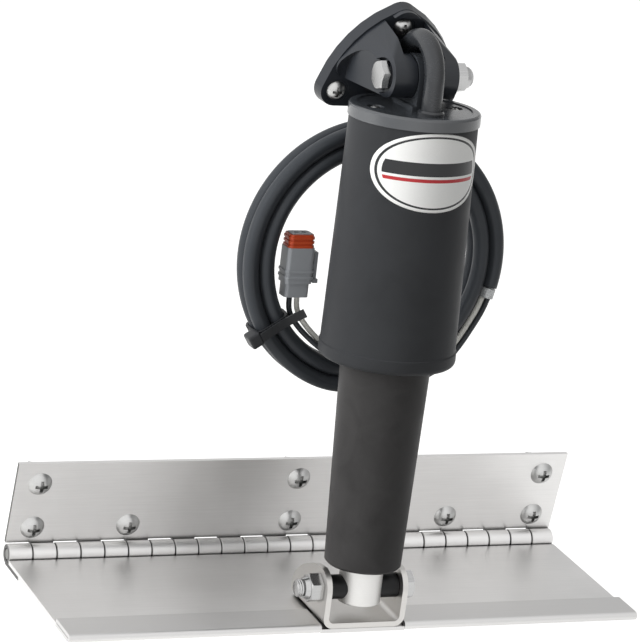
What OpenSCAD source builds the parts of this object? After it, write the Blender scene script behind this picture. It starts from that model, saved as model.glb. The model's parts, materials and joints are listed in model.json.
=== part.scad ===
// Boat trim tab with an electric screw actuator, modelled as it hangs on a transom.
// +X runs along the hinge, +Y into the transom, +Z up the transom, in millimetres.
// The origin lies on the transom plane, at the middle of the flange's screw pattern.

/* [Tab plate] */
// Length of the tab along the hinge
span = 304.8; // [280:0.1:330]
// Depth of the tab from the hinge pin to the trailing edge
chord = 103.9; // [101:0.1:130]
// Thickness of the plate, the flange and the hinge leaves
sheet_t = 2; // [1.5:0.1:2.6]
// Width of the hem folded back over the trailing edge
hem_w = 21; // [12:0.5:30]
// Gap left between the two layers of the hem
hem_gap = 0.3; // [0.1:0.1:0.8]
// Width of the notch in the hem where the ram bracket stands
hem_notch_w = 44.8; // [44:0.1:60]
// How far the single sheet in the notch stops short of the hem's nose
notch_setback = 0.6; // [0.2:0.1:0.9]
// Rise of the trailing edge with the ram drawn in, in degrees
tab_angle = 10.5; // [4:0.5:16]

/* [Hinge] */
// Number of knuckles on both leaves together
knuckles = 24; // [16:2:32]
// Diameter of the hinge pin
hinge_pin_d = 6.35; // [5:0.05:8]
// Radial running clearance of pins and bolts in their bores
running_fit = 0.05; // [0.02:0.01:0.1]
// Gap between neighbouring knuckles
knuckle_gap = 0.5; // [0.3:0.1:1]
// Room the windows in a leaf leave beyond the other leaf's knuckles
knuckle_relief = 0.6; // [0.4:0.1:1.5]
// Depth of the tab's hinge leaf from the pin
tab_leaf_w = 22; // [15:0.5:35]

/* [Transom flange] */
// Height of the flange above the hinge pin
flange_h = 50.8; // [46:0.1:70]
// Height of the lower screw row above the hinge pin
screw_row_low = 13.5; // [12.5:0.1:16]
// Distance between the two screw rows
screw_row_gap = 25.4; // [20:0.1:28]
// Distance between the outermost screws
corner_pitch = 279.4; // [260:0.1:285]
// Distance between the lower row's middle pair of screws
quarter_pitch = 177.8; // [120:0.1:200]
// Diameter of the flange screws' shanks
flange_screw_d = 6.1; // [4.8:0.1:6.5]
// Diameter of the flange screws' heads
flange_head_d = 12.5; // [10:0.1:13]
// Length of the flange screws behind the flange
flange_screw_len = 19; // [14:1:50]

/* [Ram bracket] */
// Width of the bracket over both ears
ram_bracket_w = 43.4; // [42:0.1:44]
// Length of the bracket's foot along the chord
ram_bracket_l = 48; // [40:0.5:60]
// Thickness of the bracket's sheet
ram_bracket_t = 2.8; // [2:0.1:3.5]
// Outer radius of the bracket's two bends
ram_bracket_bend = 5.5; // [4.5:0.1:7]
// Distance of the lower pivot from the hinge pin along the plate
ram_pivot_back = 92.7; // [85:0.1:93]
// Height of the lower pivot above the plate
ram_pivot_h = 18; // [16:0.1:24]
// Radius of the ears round the pivot
ear_r = 10.3; // [9:0.1:10.4]
// Diameter of both pivot bolts
bolt_d = 8; // [6:0.5:9]
// Width across the flats of the bolt heads and nuts
bolt_af = 13; // [11:0.1:14]

/* [Ram] */
// Diameter of the ram
ram_d = 21.6; // [20:0.1:24]
// Wall of the ram's tube
ram_wall = 3; // [2:0.1:4]
// Length of the ram below the lower pivot
ram_below = 7.6; // [7:0.1:9]
// Outer diameter of the bushings on the lower pivot
ram_bush_d = 12.2; // [11:0.1:13]
// Diameter of the lead screw
lead_screw_d = 10; // [8:0.1:11]

/* [Actuator] */
// Distance between the pivots with the ram drawn in
actuator_len = 256; // [254:0.5:262]
// Height of the lower housing's foot above the lower pivot
tube_foot = 12; // [10.5:0.1:14]
// Diameter of the lower housing at its foot
tube_low_d = 38; // [37:0.1:40]
// Diameter of the lower housing at its neck
tube_top_d = 43.4; // [42:0.1:46]
// Height of the neck under the shoulder above the lower pivot
neck_z = 105; // [100:0.5:108]
// Height of the joint between the two housings above the lower pivot
joint_z = 117; // [115:0.5:122]
// Diameter of the upper housing at the joint
body_low_d = 67; // [65:0.1:70]
// Diameter of the upper housing under the cap
body_top_d = 62; // [61:0.1:66]
// Wall of the upper housing
body_wall = 3.2; // [2.5:0.1:4]
// Height of the cap's underside above the lower pivot
cap_z = 235.5; // [232:0.5:237]
// Height of the cap
cap_h = 6; // [5.5:0.1:7]
// Diameter of the cap
cap_d = 63.6; // [62.5:0.1:68]
// Diameter of the motor
motor_d = 44; // [36:0.5:48]

/* [Upper bracket] */
// Distance of the upper pivot from the transom
bracket_reach = 33.5; // [32:0.1:36]
// Thickness of the bracket's base
base_t = 6.5; // [5.5:0.1:7]
// Height of the top screw above the upper pivot
top_screw_up = 12.6; // [12:0.1:14]
// Depth of the two lower screws below the upper pivot
low_screw_down = 21.4; // [20.5:0.1:23]
// Distance of each lower screw from the middle
low_screw_side = 27.7; // [26.5:0.1:30]
// Radius of the base round each screw
base_corner_r = 9.1; // [8.5:0.1:10]
// Length of each boss along the pivot bolt
boss_l = 11.5; // [11:0.1:12.5]
// Radius of each boss round the pivot
boss_r = 10.5; // [10:0.1:11]
// Width of the slot between the bracket's two cheeks
slot_w = 21; // [20:0.1:22]
// Width of the lug on the cap
lug_w = 9; // [8:0.1:9.6]
// Radius of the lug round the pivot
lug_r = 11; // [9:0.1:11.2]
// Side clearance between the lug and each boss
lug_fit = 0.5; // [0.3:0.1:0.8]
// Diameter of the bracket screws' shanks
bracket_screw_d = 4.8; // [4:0.1:5.2]
// Diameter of the bracket screws' heads
bracket_head_d = 9.6; // [8.5:0.1:10]
// Length of the bracket screws behind the bracket
bracket_screw_len = 13; // [10:0.5:30]

/* [Cable] */
// Diameter of the rubber sleeve between the cap and the bracket
loop_d = 9.6; // [8:0.1:10]
// Radius of the cable's bend round the upper pivot
loop_r = 18; // [17:0.1:19]
// Diameter of the coiled cable
cable_d = 8.1; // [7.5:0.1:8.4]
// Outer radius of the coil
coil_r = 70; // [68:0.5:74]
// Distance of the coil's middle behind the actuator's axis
coil_back = 51; // [49:0.5:60]
// Height of the coil's middle above the lower pivot, along the actuator
coil_up = 154; // [148:0.5:160]
// Distance of the coil's middle to the side of the actuator
coil_side = 10; // [4:0.5:14]
// Diameter of each wire to the connector
wire_d = 2.8; // [2:0.1:3]

/* [Hidden] */
$fn = 64;
// Fit of pieces that seat in one another without moving
seat_fit = 0.05;
// Overlap that makes a cut pass clear through a face
cut = 1;

// Hinge line and the tab's own levels, measured from the pin
barrel_r = hinge_pin_d / 2 + running_fit + sheet_t;
pin_y = -barrel_r;
pin_z = -(screw_row_low + screw_row_gap / 2);
knuckle_l = span / knuckles;
leaf_low = -barrel_r;
plate_low = leaf_low + sheet_t;
plate_top = plate_low + sheet_t;
plate_rear = barrel_r + knuckle_gap;
fold_r = sheet_t + hem_gap / 2;
// How far a knuckle reaches along the sheet of the other leaf, with room to turn
window = sqrt(barrel_r * barrel_r - (barrel_r - sheet_t) * (barrel_r - sheet_t)) + knuckle_relief;

// Pivots in the object's frame
ram_local_z = plate_top + ram_pivot_h;
ram_y = pin_y - ram_pivot_back * cos(tab_angle) + ram_local_z * sin(tab_angle);
ram_z = pin_z + ram_pivot_back * sin(tab_angle) + ram_local_z * cos(tab_angle);
pivot_y = -bracket_reach;
lean = asin((pivot_y - ram_y) / actuator_len);
pivot_z = ram_z + actuator_len * cos(lean);

// Widths along the pivot bolts
ear_in = ram_bracket_w / 2 - ram_bracket_t;
boss_in = lug_w / 2 + lug_fit;
boss_out = boss_in + boss_l;
bolt_head_h = 5.3;
nut_h = 6.6;
nut_collar_h = 2.4;
lower_tip = 3.2;
upper_tip = 1.3;
bolt_pocket = 0.3;
// Room the bracket leaves round the cap as the actuator swings
cap_room = 1.8;
// Flare of the recesses in the shoulders' flanks, and the lip over the top screw
flank_slope = 17;
nose = 3;
// Bulging sides of the bracket's base from the top corner to each lower one, as X and Z from the pivot
base_top = top_screw_up + 1.8;
side_bulge = 3.8;
function bulge_at(t) = 4 * t * (1 - t) * side_bulge;
function base_side(t) = [low_screw_side * t + bulge_at(t),
    base_top - (base_top + low_screw_down) * t + bulge_at(t)];
base_sides = [for (side = [-1, 1], t = [0.2 : 0.15 : 0.8]) [side * base_side(t)[0], base_side(t)[1]]];
base_corners = concat(base_sides,
    [[0, base_top], [-low_screw_side, -low_screw_down], [low_screw_side, -low_screw_down]]);

// Levels inside the actuator, measured from the lower pivot along its axis
ram_top = 96;
ram_r = ram_d / 2;
ram_bore_r = ram_r - ram_wall;
ram_slide_fit = 0.3;
nut_top = ram_top + 7;
guide_r = ram_r + 3;
wiper_h = 4;
guide_top = tube_foot + wiper_h + 20;
screw_low = 22;
bearing_low = joint_z - 7;
bearing_h = 9;
bearing_r = 15;
gearbox_low = bearing_low + bearing_h;
gearbox_h = 30;
gearbox_r = motor_d / 2 + 2;
motor_low = gearbox_low + gearbox_h;
spigot_r = body_low_d / 2 - body_wall;
spigot_h = 8;
ring_d = 2.4;
cap_top = cap_z + cap_h;
cap_plug_h = 5;
pad_h = 4;
motor_h = cap_z - cap_plug_h - pad_h - motor_low;
cap_screw_side = 20.5;
cap_screw_d = 3.5;
cap_head_d = 7;

// The cable's way round the upper pivot, in degrees from straight back
loop_from = 180 - lean;
loop_to = 40;
loop_rise = actuator_len - cap_z;
loop_run = (bracket_reach - loop_r * cos(loop_to)) / sin(loop_to) - 1;
loop_turns = 22;
function loop_at(a) = [0, loop_r * cos(a), loop_r * sin(a)];
lead_start = loop_at(loop_to) + (loop_run + 1) * [0, sin(loop_to), -cos(loop_to)];
loop_path = concat(
    [for (k = [3 : -1 : 1]) loop_at(loop_from) - k / 3 * loop_rise * [0, sin(lean), cos(lean)]],
    [for (k = [0 : loop_turns]) loop_at(loop_from + (loop_to - loop_from) * k / loop_turns)],
    [for (k = [1 : 4]) loop_at(loop_to) + k / 4 * loop_run * [0, sin(loop_to), -cos(loop_to)]]);
gland_r = loop_d / 2 + 1.6;
loop_hole_r = loop_d / 2 + 0.3;

// Coil strands: radii of the outer and inner strand, and arc of the last strand
outer_strand = coil_r - cable_d / 2;
inner_strand = outer_strand - cable_d;
strand_end = -12;
strand_arc = 257;
sleeve_arc = 5;
tie_at = 213;
tie_w = 4.8;
tie_t = 1.3;
tie_fit = 0.3;

// Lead from the bracket's back, down behind the coil to its lowest turn, in the coil's frame
lead_route = [
    [-9.5, 5, 82.5], [-8.8, 11, 74.5], [-8, 14.5, 65], [-7, 15.5, 54], [-3.5, 15.6, 43],
    [2, 15.6, 31], [9, 15.5, 18.5], [16.5, 15.4, 6], [23, 15.3, -7], [27.2, 15.2, -20],
    [28.3, 15, -32.5], [25.8, 14.8, -44.5], [18.8, 14.6, -54.8], [8.2, 14.4, -62],
    [-4, 13.8, -65.4], [-15.5, 12.6, -64.2]];
// Wires from the cable's end to the connector, in the coil's frame
white_route = [
    [61.4, -4, -19.15], [58.9, -4, -25.7], [54.5, -4, -34.1], [48.2, -5.8, -42.6], [39.6, -8.6, -50.7],
    [30, -10, -55.8], [18, -10.3, -57.3], [6, -10.3, -55.8], [-6, -10, -52.5], [-17, -8, -47.5],
    [-27, -5.2, -40.3], [-34.5, -3.2, -32.5], [-38.3, -2.3, -26], [-39, -2, -19.2]];
black_route = [
    [64.6, -4, -19.8], [61.9, -4, -27.1], [57.3, -4, -35.8], [50.6, -5.8, -44.8], [41.6, -8.6, -53.3],
    [31.5, -10, -58.9], [18.8, -10.3, -60.6], [6, -10.3, -59], [-7, -10.3, -55.5], [-18.3, -10, -49.6],
    [-29.2, -7.5, -42.2], [-37.8, -4.5, -34.3], [-42.3, -2.5, -27], [-43, -2, -19.2]];
connector_x = -41;
connector_y = -2;
connector_foot = -19;
connector_w = 14.4;
connector_t = 10.8;
connector_h = 25;
connector_collar_h = 8;

// Colours as the photo shows them
satin_steel = [0.74, 0.74, 0.74];
bright_steel = [0.85, 0.85, 0.86];
black_shell = [0.14, 0.14, 0.15];
black_rubber = [0.1, 0.1, 0.11];
brass = [0.76, 0.62, 0.3];

// Frames: the tab from its pin, the actuator from its lower pivot, the coil from its middle
module at_tab() {
    translate([0, pin_y, pin_z]) rotate([-tab_angle, 0, 0]) children();
}

module at_actuator() {
    translate([0, ram_y, ram_z]) rotate([-lean, 0, 0]) children();
}

module at_upper_pivot() {
    translate([0, pivot_y, pivot_z]) children();
}

module at_coil() {
    at_actuator() translate([coil_side, coil_back, coil_up]) children();
}

// An outline drawn in Y and Z, carried along X
module along_x(from_x, to_x) {
    translate([from_x, 0, 0]) rotate([90, 0, 90]) linear_extrude(to_x - from_x) children();
}

// A round bar along X
module bar_x(r, from_x, to_x, y = 0, z = 0) {
    translate([from_x, y, z]) rotate([0, 90, 0]) cylinder(r = r, h = to_x - from_x);
}

// A ring turned about Z between two radii
module ring_z(r_out, r_in, low, h) {
    rotate_extrude() translate([r_in, low]) square([r_out - r_in, h]);
}

// A hexagon prism along Z with its top corners turned off
module hex_block(af, h) {
    corner = af / sqrt(3);
    bevel = corner - af / 2;
    intersection() {
        cylinder(r = corner, h = h, $fn = 6);
        rotate_extrude() polygon([[0, 0], [corner + 0.1, 0], [corner + 0.1, h - bevel * 0.6],
            [af / 2 - 0.1, h], [0, h]]);
    }
}

// A pan-head screw along Z: head above z = 0, then a slimmer neck, the thread and the point
module pan_screw(head_d, shank_d, shank_l, neck_l) {
    head_h = head_d * 0.3;
    dome_r = (head_d * head_d / 4 + head_h * head_h) / (2 * head_h);
    cross_w = head_d * 0.14;
    cross_l = head_d * 0.52;
    point = shank_d * 0.8;
    difference() {
        union() {
            intersection() {
                translate([0, 0, head_h - dome_r]) sphere(r = dome_r);
                cylinder(d = head_d, h = head_h + cut);
            }
            translate([0, 0, -neck_l]) cylinder(d = shank_d * 0.85, h = neck_l);
            translate([0, 0, point - shank_l]) cylinder(d = shank_d, h = shank_l - point - neck_l);
            translate([0, 0, -shank_l]) cylinder(d1 = shank_d * 0.2, d2 = shank_d, h = point);
        }
        for (turn = [0, 90]) rotate([0, 0, turn])
            translate([-cross_l / 2, -cross_w / 2, head_h * 0.12]) cube([cross_l, cross_w, head_h]);
    }
}

// One hinge knuckle along X with its outer edges broken
module knuckle(from_x) {
    edge = 0.3;
    len = knuckle_l - knuckle_gap;
    translate([from_x + knuckle_gap / 2, 0, 0]) rotate([0, 90, 0]) rotate_extrude()
        polygon([[0, 0], [barrel_r - edge, 0], [barrel_r, edge], [barrel_r, len - edge],
            [barrel_r - edge, len], [0, len]]);
}

// Left edge of each knuckle on one leaf: the tab's leaf starts on the left
function knuckle_starts(first) =
    [for (k = [first : 2 : knuckles - 1]) -span / 2 + k * knuckle_l];

flange_screw_places = concat(
    [for (x = [-1, 1], z = [-1, 1]) [x * corner_pitch / 2, z * screw_row_gap / 2]],
    [for (z = [-1, 1]) [0, z * screw_row_gap / 2]],
    [for (x = [-1, 1]) [x * quarter_pitch / 2, -screw_row_gap / 2]]);

bracket_screw_places = [
    [0, top_screw_up], [-low_screw_side, -low_screw_down], [low_screw_side, -low_screw_down]];

// Transom side of the hinge
module flange_leaf() {
    color(satin_steel) difference() {
        union() {
            translate([-span / 2, -sheet_t, pin_z]) cube([span, sheet_t, flange_h]);
            for (x = knuckle_starts(1)) translate([0, pin_y, pin_z]) knuckle(x);
        }
        for (x = knuckle_starts(0)) translate([x - knuckle_gap / 2, -sheet_t - cut, pin_z - cut])
            cube([knuckle_l + knuckle_gap, sheet_t + 2 * cut, window + cut]);
        bar_x(hinge_pin_d / 2 + running_fit, -span / 2 - cut, span / 2 + cut, pin_y, pin_z);
        for (p = flange_screw_places) translate([p[0], cut, p[1]]) rotate([90, 0, 0])
            cylinder(d = flange_screw_d + 4 * seat_fit, h = sheet_t + 2 * cut);
    }
}

module hinge_pin() {
    edge = 0.6;
    r = hinge_pin_d / 2;
    color(bright_steel) translate([-span / 2, pin_y, pin_z]) rotate([0, 90, 0]) rotate_extrude()
        polygon([[0, 0.5], [r - edge, 0.5], [r, 0.5 + edge], [r, span - 0.5 - edge],
            [r - edge, span - 0.5], [0, span - 0.5]]);
}

module flange_screws() {
    color(bright_steel) for (p = flange_screw_places) translate([p[0], -sheet_t, p[1]])
        rotate([90, 0, 0]) pan_screw(flange_head_d, flange_screw_d, flange_screw_len + sheet_t, sheet_t);
}

// Plate outline with the hem folded over the top, from the pin
module hem_outline() {
    nose = -chord + fold_r;
    translate([nose, plate_low]) square([chord - fold_r - plate_rear, sheet_t]);
    translate([nose, plate_top + hem_gap]) square([hem_w - fold_r, sheet_t]);
    translate([nose, plate_low + fold_r]) difference() {
        circle(fold_r);
        circle(hem_gap / 2);
        translate([0, -fold_r - cut]) square([fold_r + cut, 2 * fold_r + 2 * cut]);
    }
}

module tab_plate() {
    color(satin_steel) at_tab() {
        for (side = [-1, 1]) along_x(min(side * span / 2, side * hem_notch_w / 2),
            max(side * span / 2, side * hem_notch_w / 2)) hem_outline();
        along_x(-hem_notch_w / 2, hem_notch_w / 2) translate([notch_setback - chord, plate_low])
            square([chord - notch_setback - plate_rear, sheet_t]);
    }
}

module tab_hinge_leaf() {
    color(satin_steel) at_tab() difference() {
        union() {
            translate([-span / 2, -tab_leaf_w, leaf_low]) cube([span, tab_leaf_w, sheet_t]);
            for (x = knuckle_starts(0)) knuckle(x);
        }
        for (x = knuckle_starts(1)) translate([x - knuckle_gap / 2, -window, leaf_low - cut])
            cube([knuckle_l + knuckle_gap, window + cut, sheet_t + 2 * cut]);
        bar_x(hinge_pin_d / 2 + running_fit, -span / 2 - cut, span / 2 + cut);
    }
}

// U-section of the ram bracket in X and Z, open at the top
module u_outline(half_w, low, high, bend) {
    translate([-half_w, low + bend]) square([2 * half_w, high - low - bend]);
    translate([bend - half_w, low]) square([2 * half_w - 2 * bend, high - low]);
    for (side = [-1, 1]) translate([side * (half_w - bend), low + bend]) circle(bend);
}

// Ears seen from the side: round over the pivot, sloping down to the heel
module ear_outline() {
    heel = ram_bracket_l - ram_pivot_back - ear_r;
    hull() {
        translate([-ram_pivot_back, ram_local_z]) circle(ear_r, $fn = 48);
        translate([-ram_pivot_back + 14, ram_local_z - 1]) circle(ear_r * 0.75, $fn = 48);
        translate([heel - 3, plate_top + 3]) circle(3, $fn = 32);
        translate([-ram_pivot_back - ear_r, plate_top]) square([ear_r, ram_bracket_t]);
    }
}

module ram_bracket() {
    top = ram_local_z + ear_r + cut;
    color(bright_steel) at_tab() difference() {
        intersection() {
            rotate([90, 0, 0]) linear_extrude(chord) difference() {
                u_outline(ram_bracket_w / 2, plate_top, top, ram_bracket_bend);
                u_outline(ear_in, plate_top + ram_bracket_t, top + cut,
                    ram_bracket_bend - ram_bracket_t);
            }
            along_x(-ram_bracket_w, ram_bracket_w) ear_outline();
        }
        bar_x(bolt_d / 2 + seat_fit, -ram_bracket_w, ram_bracket_w, -ram_pivot_back, ram_local_z);
    }
}

// A pivot bolt along X: head outside head_x, thread end standing tip_l out of the nut at nut_x
module pivot_bolt(head_x, nut_x, tip_l) {
    way = head_x > nut_x ? 1 : -1;
    tip = nut_x - way * (nut_h + nut_collar_h + tip_l);
    bar_x(bolt_d / 2, min(head_x, tip), max(head_x, tip));
    translate([head_x, 0, 0]) rotate([0, way * 90, 0]) hex_block(bolt_af, bolt_head_h);
}

// A lock nut along X with its collar, seated at nut_x and pointing the given way
module pivot_nut(nut_x, way) {
    collar_r = bolt_af / 2 - 0.4;
    difference() {
        translate([nut_x, 0, 0]) rotate([0, way * 90, 0]) union() {
            hex_block(bolt_af, nut_h);
            translate([0, 0, nut_h - cut]) cylinder(r1 = collar_r, r2 = collar_r - 1,
                h = nut_collar_h + cut);
        }
        bar_x(bolt_d / 2 + seat_fit, nut_x - 20, nut_x + 20);
    }
}

module lower_bolt() {
    color(bright_steel) at_tab() translate([0, -ram_pivot_back, ram_local_z])
        pivot_bolt(ram_bracket_w / 2, -ram_bracket_w / 2, lower_tip);
}

module lower_nut() {
    color(bright_steel) at_tab() translate([0, -ram_pivot_back, ram_local_z])
        pivot_nut(-ram_bracket_w / 2, -1);
}

// Ram: a tube closed and drilled across at its foot
module ram_tube() {
    edge = 1;
    floor_z = ram_bush_d / 2 + 6;
    color(bright_steel) at_actuator() difference() {
        rotate_extrude() difference() {
            union() {
                translate([0, -ram_below]) square([ram_r - edge, ram_top + ram_below]);
                translate([0, edge - ram_below]) square([ram_r, ram_top + ram_below - edge]);
                translate([ram_r - edge, edge - ram_below]) circle(edge);
            }
            translate([0, floor_z]) square([ram_bore_r, ram_top]);
            translate([-2 * edge, -ram_below - cut]) square([2 * edge, ram_top + 2 * ram_below]);
        }
        bar_x(ram_bush_d / 2 + seat_fit, -ram_d, ram_d);
    }
}

module ram_bushings() {
    side_fit = 0.25;
    color(black_rubber) at_actuator() for (side = [0, 180]) rotate([0, 0, side]) difference() {
        bar_x(ram_bush_d / 2, side_fit / 2, ear_in - side_fit);
        bar_x(bolt_d / 2 + running_fit, -cut, ear_in + cut);
    }
}

module drive_nut() {
    bore = lead_screw_d / 2 + running_fit;
    color(brass) at_actuator() {
        rotate_extrude() polygon([[bore, ram_top - 14], [ram_bore_r - seat_fit, ram_top - 14],
            [ram_bore_r - seat_fit, ram_top], [ram_r, ram_top], [ram_r, nut_top], [bore, nut_top]]);
    }
}

// Lower housing: tapered tube, rounded shoulder and a spigot for the upper housing
module lower_housing() {
    shoulder_r = body_low_d / 2;
    round_r = 5;
    foot_edge = 1.2;
    bore = ram_r + ram_slide_fit;
    low_r = tube_low_d / 2;
    neck_r = tube_top_d / 2;
    fillet_r = 3;
    color([0.17, 0.16, 0.16]) at_actuator() rotate_extrude() difference() {
        union() {
            polygon([[0, tube_foot], [low_r - foot_edge, tube_foot], [low_r, tube_foot + foot_edge],
                [neck_r, neck_z], [neck_r, joint_z], [0, joint_z]]);
            translate([0, neck_z]) square([shoulder_r - round_r, joint_z - neck_z]);
            translate([0, neck_z + round_r]) square([shoulder_r, joint_z - neck_z - round_r - 0.8]);
            translate([0, joint_z - cut]) square([shoulder_r - 0.8, cut]);
            translate([shoulder_r - round_r, neck_z + round_r]) circle(round_r);
            translate([0, joint_z - cut]) square([spigot_r - seat_fit * 4, spigot_h + cut]);
            difference() {
                translate([neck_r - cut, neck_z - fillet_r]) square([fillet_r + cut, fillet_r + cut]);
                translate([neck_r + fillet_r, neck_z - fillet_r]) circle(fillet_r);
            }
        }
        translate([-cut, 0]) square([bore + cut, cap_z]);
        translate([0, tube_foot - cut]) square([guide_r, guide_top - tube_foot + cut]);
        translate([0, bearing_low]) square([bearing_r + seat_fit, bearing_h]);
        translate([0, gearbox_low]) square([gearbox_r + seat_fit * 4, cap_z]);
        translate([spigot_r - ring_d - 0.3, joint_z + 2]) square([ring_d + cut, ring_d + 0.4]);
        translate([-2 * round_r, 0]) square([2 * round_r, cap_z]);
    }
}

// Upper housing: tapered shell with a bead at its lower edge
module upper_housing() {
    low = joint_z;
    low_r = body_low_d / 2;
    top_r = body_top_d / 2;
    edge = 0.8;
    color(black_shell) at_actuator() rotate_extrude()
        polygon([[spigot_r, low], [low_r - edge, low], [low_r, low + edge], [low_r, low + 7],
            [low_r - 0.5, low + 7.6], [top_r, cap_z], [top_r - body_wall, cap_z],
            [spigot_r - 0.4, low + spigot_h + 4], [spigot_r, low + spigot_h + 3]]);
}

// Cap: disc with a plug below, a braced lug for the upper pivot and a hole for the cable
module top_cap() {
    r = cap_d / 2;
    edge = 1.2;
    plug_r = body_top_d / 2 - body_wall - 4 * seat_fit;
    lug_z = actuator_len - cap_top;
    color([0.2, 0.21, 0.23]) at_actuator() difference() {
        union() {
            rotate_extrude() polygon([[0, cap_z - cap_plug_h], [plug_r, cap_z - cap_plug_h],
                [plug_r, cap_z], [r, cap_z], [r, cap_top - edge], [r - edge * 0.4, cap_top - edge * 0.3],
                [r - edge, cap_top], [r - 4, cap_top], [r - 4.6, cap_top - 0.5], [0, cap_top - 0.5]]);
            bar_x(lug_r, -lug_w / 2, lug_w / 2, 0, actuator_len);
            translate([-lug_w / 2, -lug_r, cap_top - cut]) cube([lug_w, 2 * lug_r, lug_z + cut]);
            along_x(-lug_w / 2, lug_w / 2)
                polygon([[lug_r - cut, cap_top - cut], [lug_r + 7, cap_top - cut], [lug_r + 7, cap_top],
                    [lug_r, cap_top + 8], [lug_r - cut, cap_top + 8]]);
            translate([-lug_w / 2 - 2, -lug_r, cap_top - cut]) cube([lug_w + 4, 2 * lug_r, cut + 2]);
        }
        bar_x(bolt_d / 2 + 1.5 + seat_fit, -cap_d, cap_d, 0, actuator_len);
        translate([0, -loop_r, cap_z - cap_plug_h - cut]) cylinder(r = gland_r, h = cap_h * 3);
        for (side = [-1, 1]) translate([side * cap_screw_side, 0, 0]) {
            translate([0, 0, cap_z - cap_plug_h - cut]) cylinder(d = cap_screw_d + 0.2, h = cap_h * 3);
            translate([0, 0, cap_top - 2.4]) cylinder(d = cap_head_d + 1.4, h = cap_h);
        }
    }
}

module cap_screws() {
    color(bright_steel) at_actuator() for (side = [-1, 1])
        translate([side * cap_screw_side, 0, cap_top - 2.4])
            pan_screw(cap_head_d, cap_screw_d, cap_h + 1, 2);
}

module housing_oring() {
    color(black_rubber) at_actuator() rotate_extrude()
        translate([spigot_r - ring_d / 2 - 0.1, joint_z + 2.2 + ring_d / 2]) circle(d = ring_d - 0.1);
}

module wiper_seal() {
    lip = ram_r + ram_slide_fit;
    color(black_rubber) at_actuator() rotate_extrude()
        polygon([[lip, tube_foot + 0.4], [guide_r - seat_fit, tube_foot + 0.4],
            [guide_r - seat_fit, tube_foot + wiper_h], [lip + 1.2, tube_foot + wiper_h],
            [lip + 1.2, tube_foot + 1.8]]);
}

module ram_guide() {
    color([0.85, 0.83, 0.75]) at_actuator()
        ring_z(guide_r - seat_fit, ram_r + running_fit, tube_foot + wiper_h,
            guide_top - tube_foot - wiper_h);
}

module thrust_bearing() {
    bore = lead_screw_d / 2 + running_fit;
    race = bearing_h / 3;
    color(bright_steel) at_actuator() rotate_extrude()
        polygon([[bore, bearing_low], [bearing_r, bearing_low], [bearing_r, bearing_low + race],
            [bearing_r - 2, bearing_low + race], [bearing_r - 2, bearing_low + 2 * race],
            [bearing_r, bearing_low + 2 * race], [bearing_r, gearbox_low], [bore, gearbox_low]]);
}

module gearbox() {
    color([0.3, 0.3, 0.32]) at_actuator() difference() {
        ring_z(gearbox_r, lead_screw_d / 2 + running_fit, gearbox_low, gearbox_h);
        for (a = [0 : 60 : 300]) rotate([0, 0, a]) translate([gearbox_r, 0, gearbox_low + spigot_h])
            cylinder(r = 2, h = gearbox_h);
    }
}

module motor() {
    boss_r = 8;
    color([0.6, 0.6, 0.62]) at_actuator() rotate_extrude()
        polygon([[0, motor_low], [motor_d / 2, motor_low], [motor_d / 2, motor_low + motor_h - 3],
            [motor_d / 2 - 3, motor_low + motor_h], [boss_r, motor_low + motor_h],
            [boss_r, motor_low + motor_h + pad_h - 1], [0, motor_low + motor_h + pad_h - 1]]);
}

module motor_pad() {
    color(black_rubber) at_actuator()
        ring_z(motor_d / 2 - 4, 8.5, motor_low + motor_h, pad_h);
}

module pivot_sleeve() {
    color(black_rubber) at_actuator() difference() {
        bar_x(bolt_d / 2 + 1.5, -lug_w / 2, lug_w / 2, 0, actuator_len);
        bar_x(bolt_d / 2 + running_fit, -lug_w, lug_w, 0, actuator_len);
    }
}

module loop_grommet() {
    r_in = loop_d / 2 + seat_fit;
    color(black_rubber) at_actuator() translate([0, -loop_r, 0]) rotate_extrude()
        polygon([[r_in, cap_z], [gland_r - seat_fit, cap_z], [gland_r - seat_fit, cap_top + 1],
            [gland_r - 0.8, cap_top + 2], [r_in, cap_top + 2]]);
}

// Cable sleeve: up out of the cap, round the pivot, and back down into the bracket's base
module cable_loop() {
    color(black_rubber) at_upper_pivot() tube(loop_path, loop_d, 16);
}

module lead_screw() {
    r = lead_screw_d / 2;
    edge = 1;
    color(bright_steel) at_actuator() rotate_extrude()
        polygon([[0, screw_low], [r - edge, screw_low], [r, screw_low + edge],
            [r, gearbox_low + gearbox_h - 4], [0, gearbox_low + gearbox_h - 4]]);
}

// Base of the upper bracket: three rounded corners and bulging sides, drafted towards the front
module bracket_base() {
    draft = 1.2;
    rotate([90, 0, 0]) hull() for (p = base_corners) translate([p[0], p[1], 0])
        cylinder(r1 = base_corner_r, r2 = base_corner_r - draft, h = base_t, $fn = 40);
}

// Shoulders: one convex body from the bosses round the pivot back to the base, nosed at the top
module bracket_shoulders() {
    hull() {
        bar_x(boss_r, -boss_out, boss_out);
        translate([0, bracket_reach, 0]) rotate([90, 0, 0]) {
            translate([0, base_top, 0]) cylinder(r = base_corner_r - 1.4, h = base_t + nose, $fn = 40);
            for (p = base_sides) if (p[1] > -8) translate([p[0], p[1], 0])
                cylinder(r = base_corner_r - 2.2, h = base_t + 1, $fn = 40);
            for (side = [-1, 1]) translate([side * (low_screw_side - 3.7), -8, 0])
                cylinder(r = 6.5, h = base_t + 0.5, $fn = 40);
        }
    }
}

// Arched recess in a shoulder's flank, from round the bolt back towards the base
module flank_recess() {
    arch_r = 17;
    arch_y = 12;
    arch_z = -11;
    depth = 40;
    translate([boss_out, 0, 0]) rotate([0, 0, -flank_slope]) along_x(0, depth) {
        intersection() {
            translate([arch_y, arch_z]) circle(arch_r);
            translate([0, -depth]) square([depth, 2 * depth]);
        }
        translate([0, arch_z - depth]) square([arch_y + arch_r, depth]);
    }
    bar_x(bolt_af / sqrt(3) + 0.9, boss_out, boss_out + depth);
}

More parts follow.
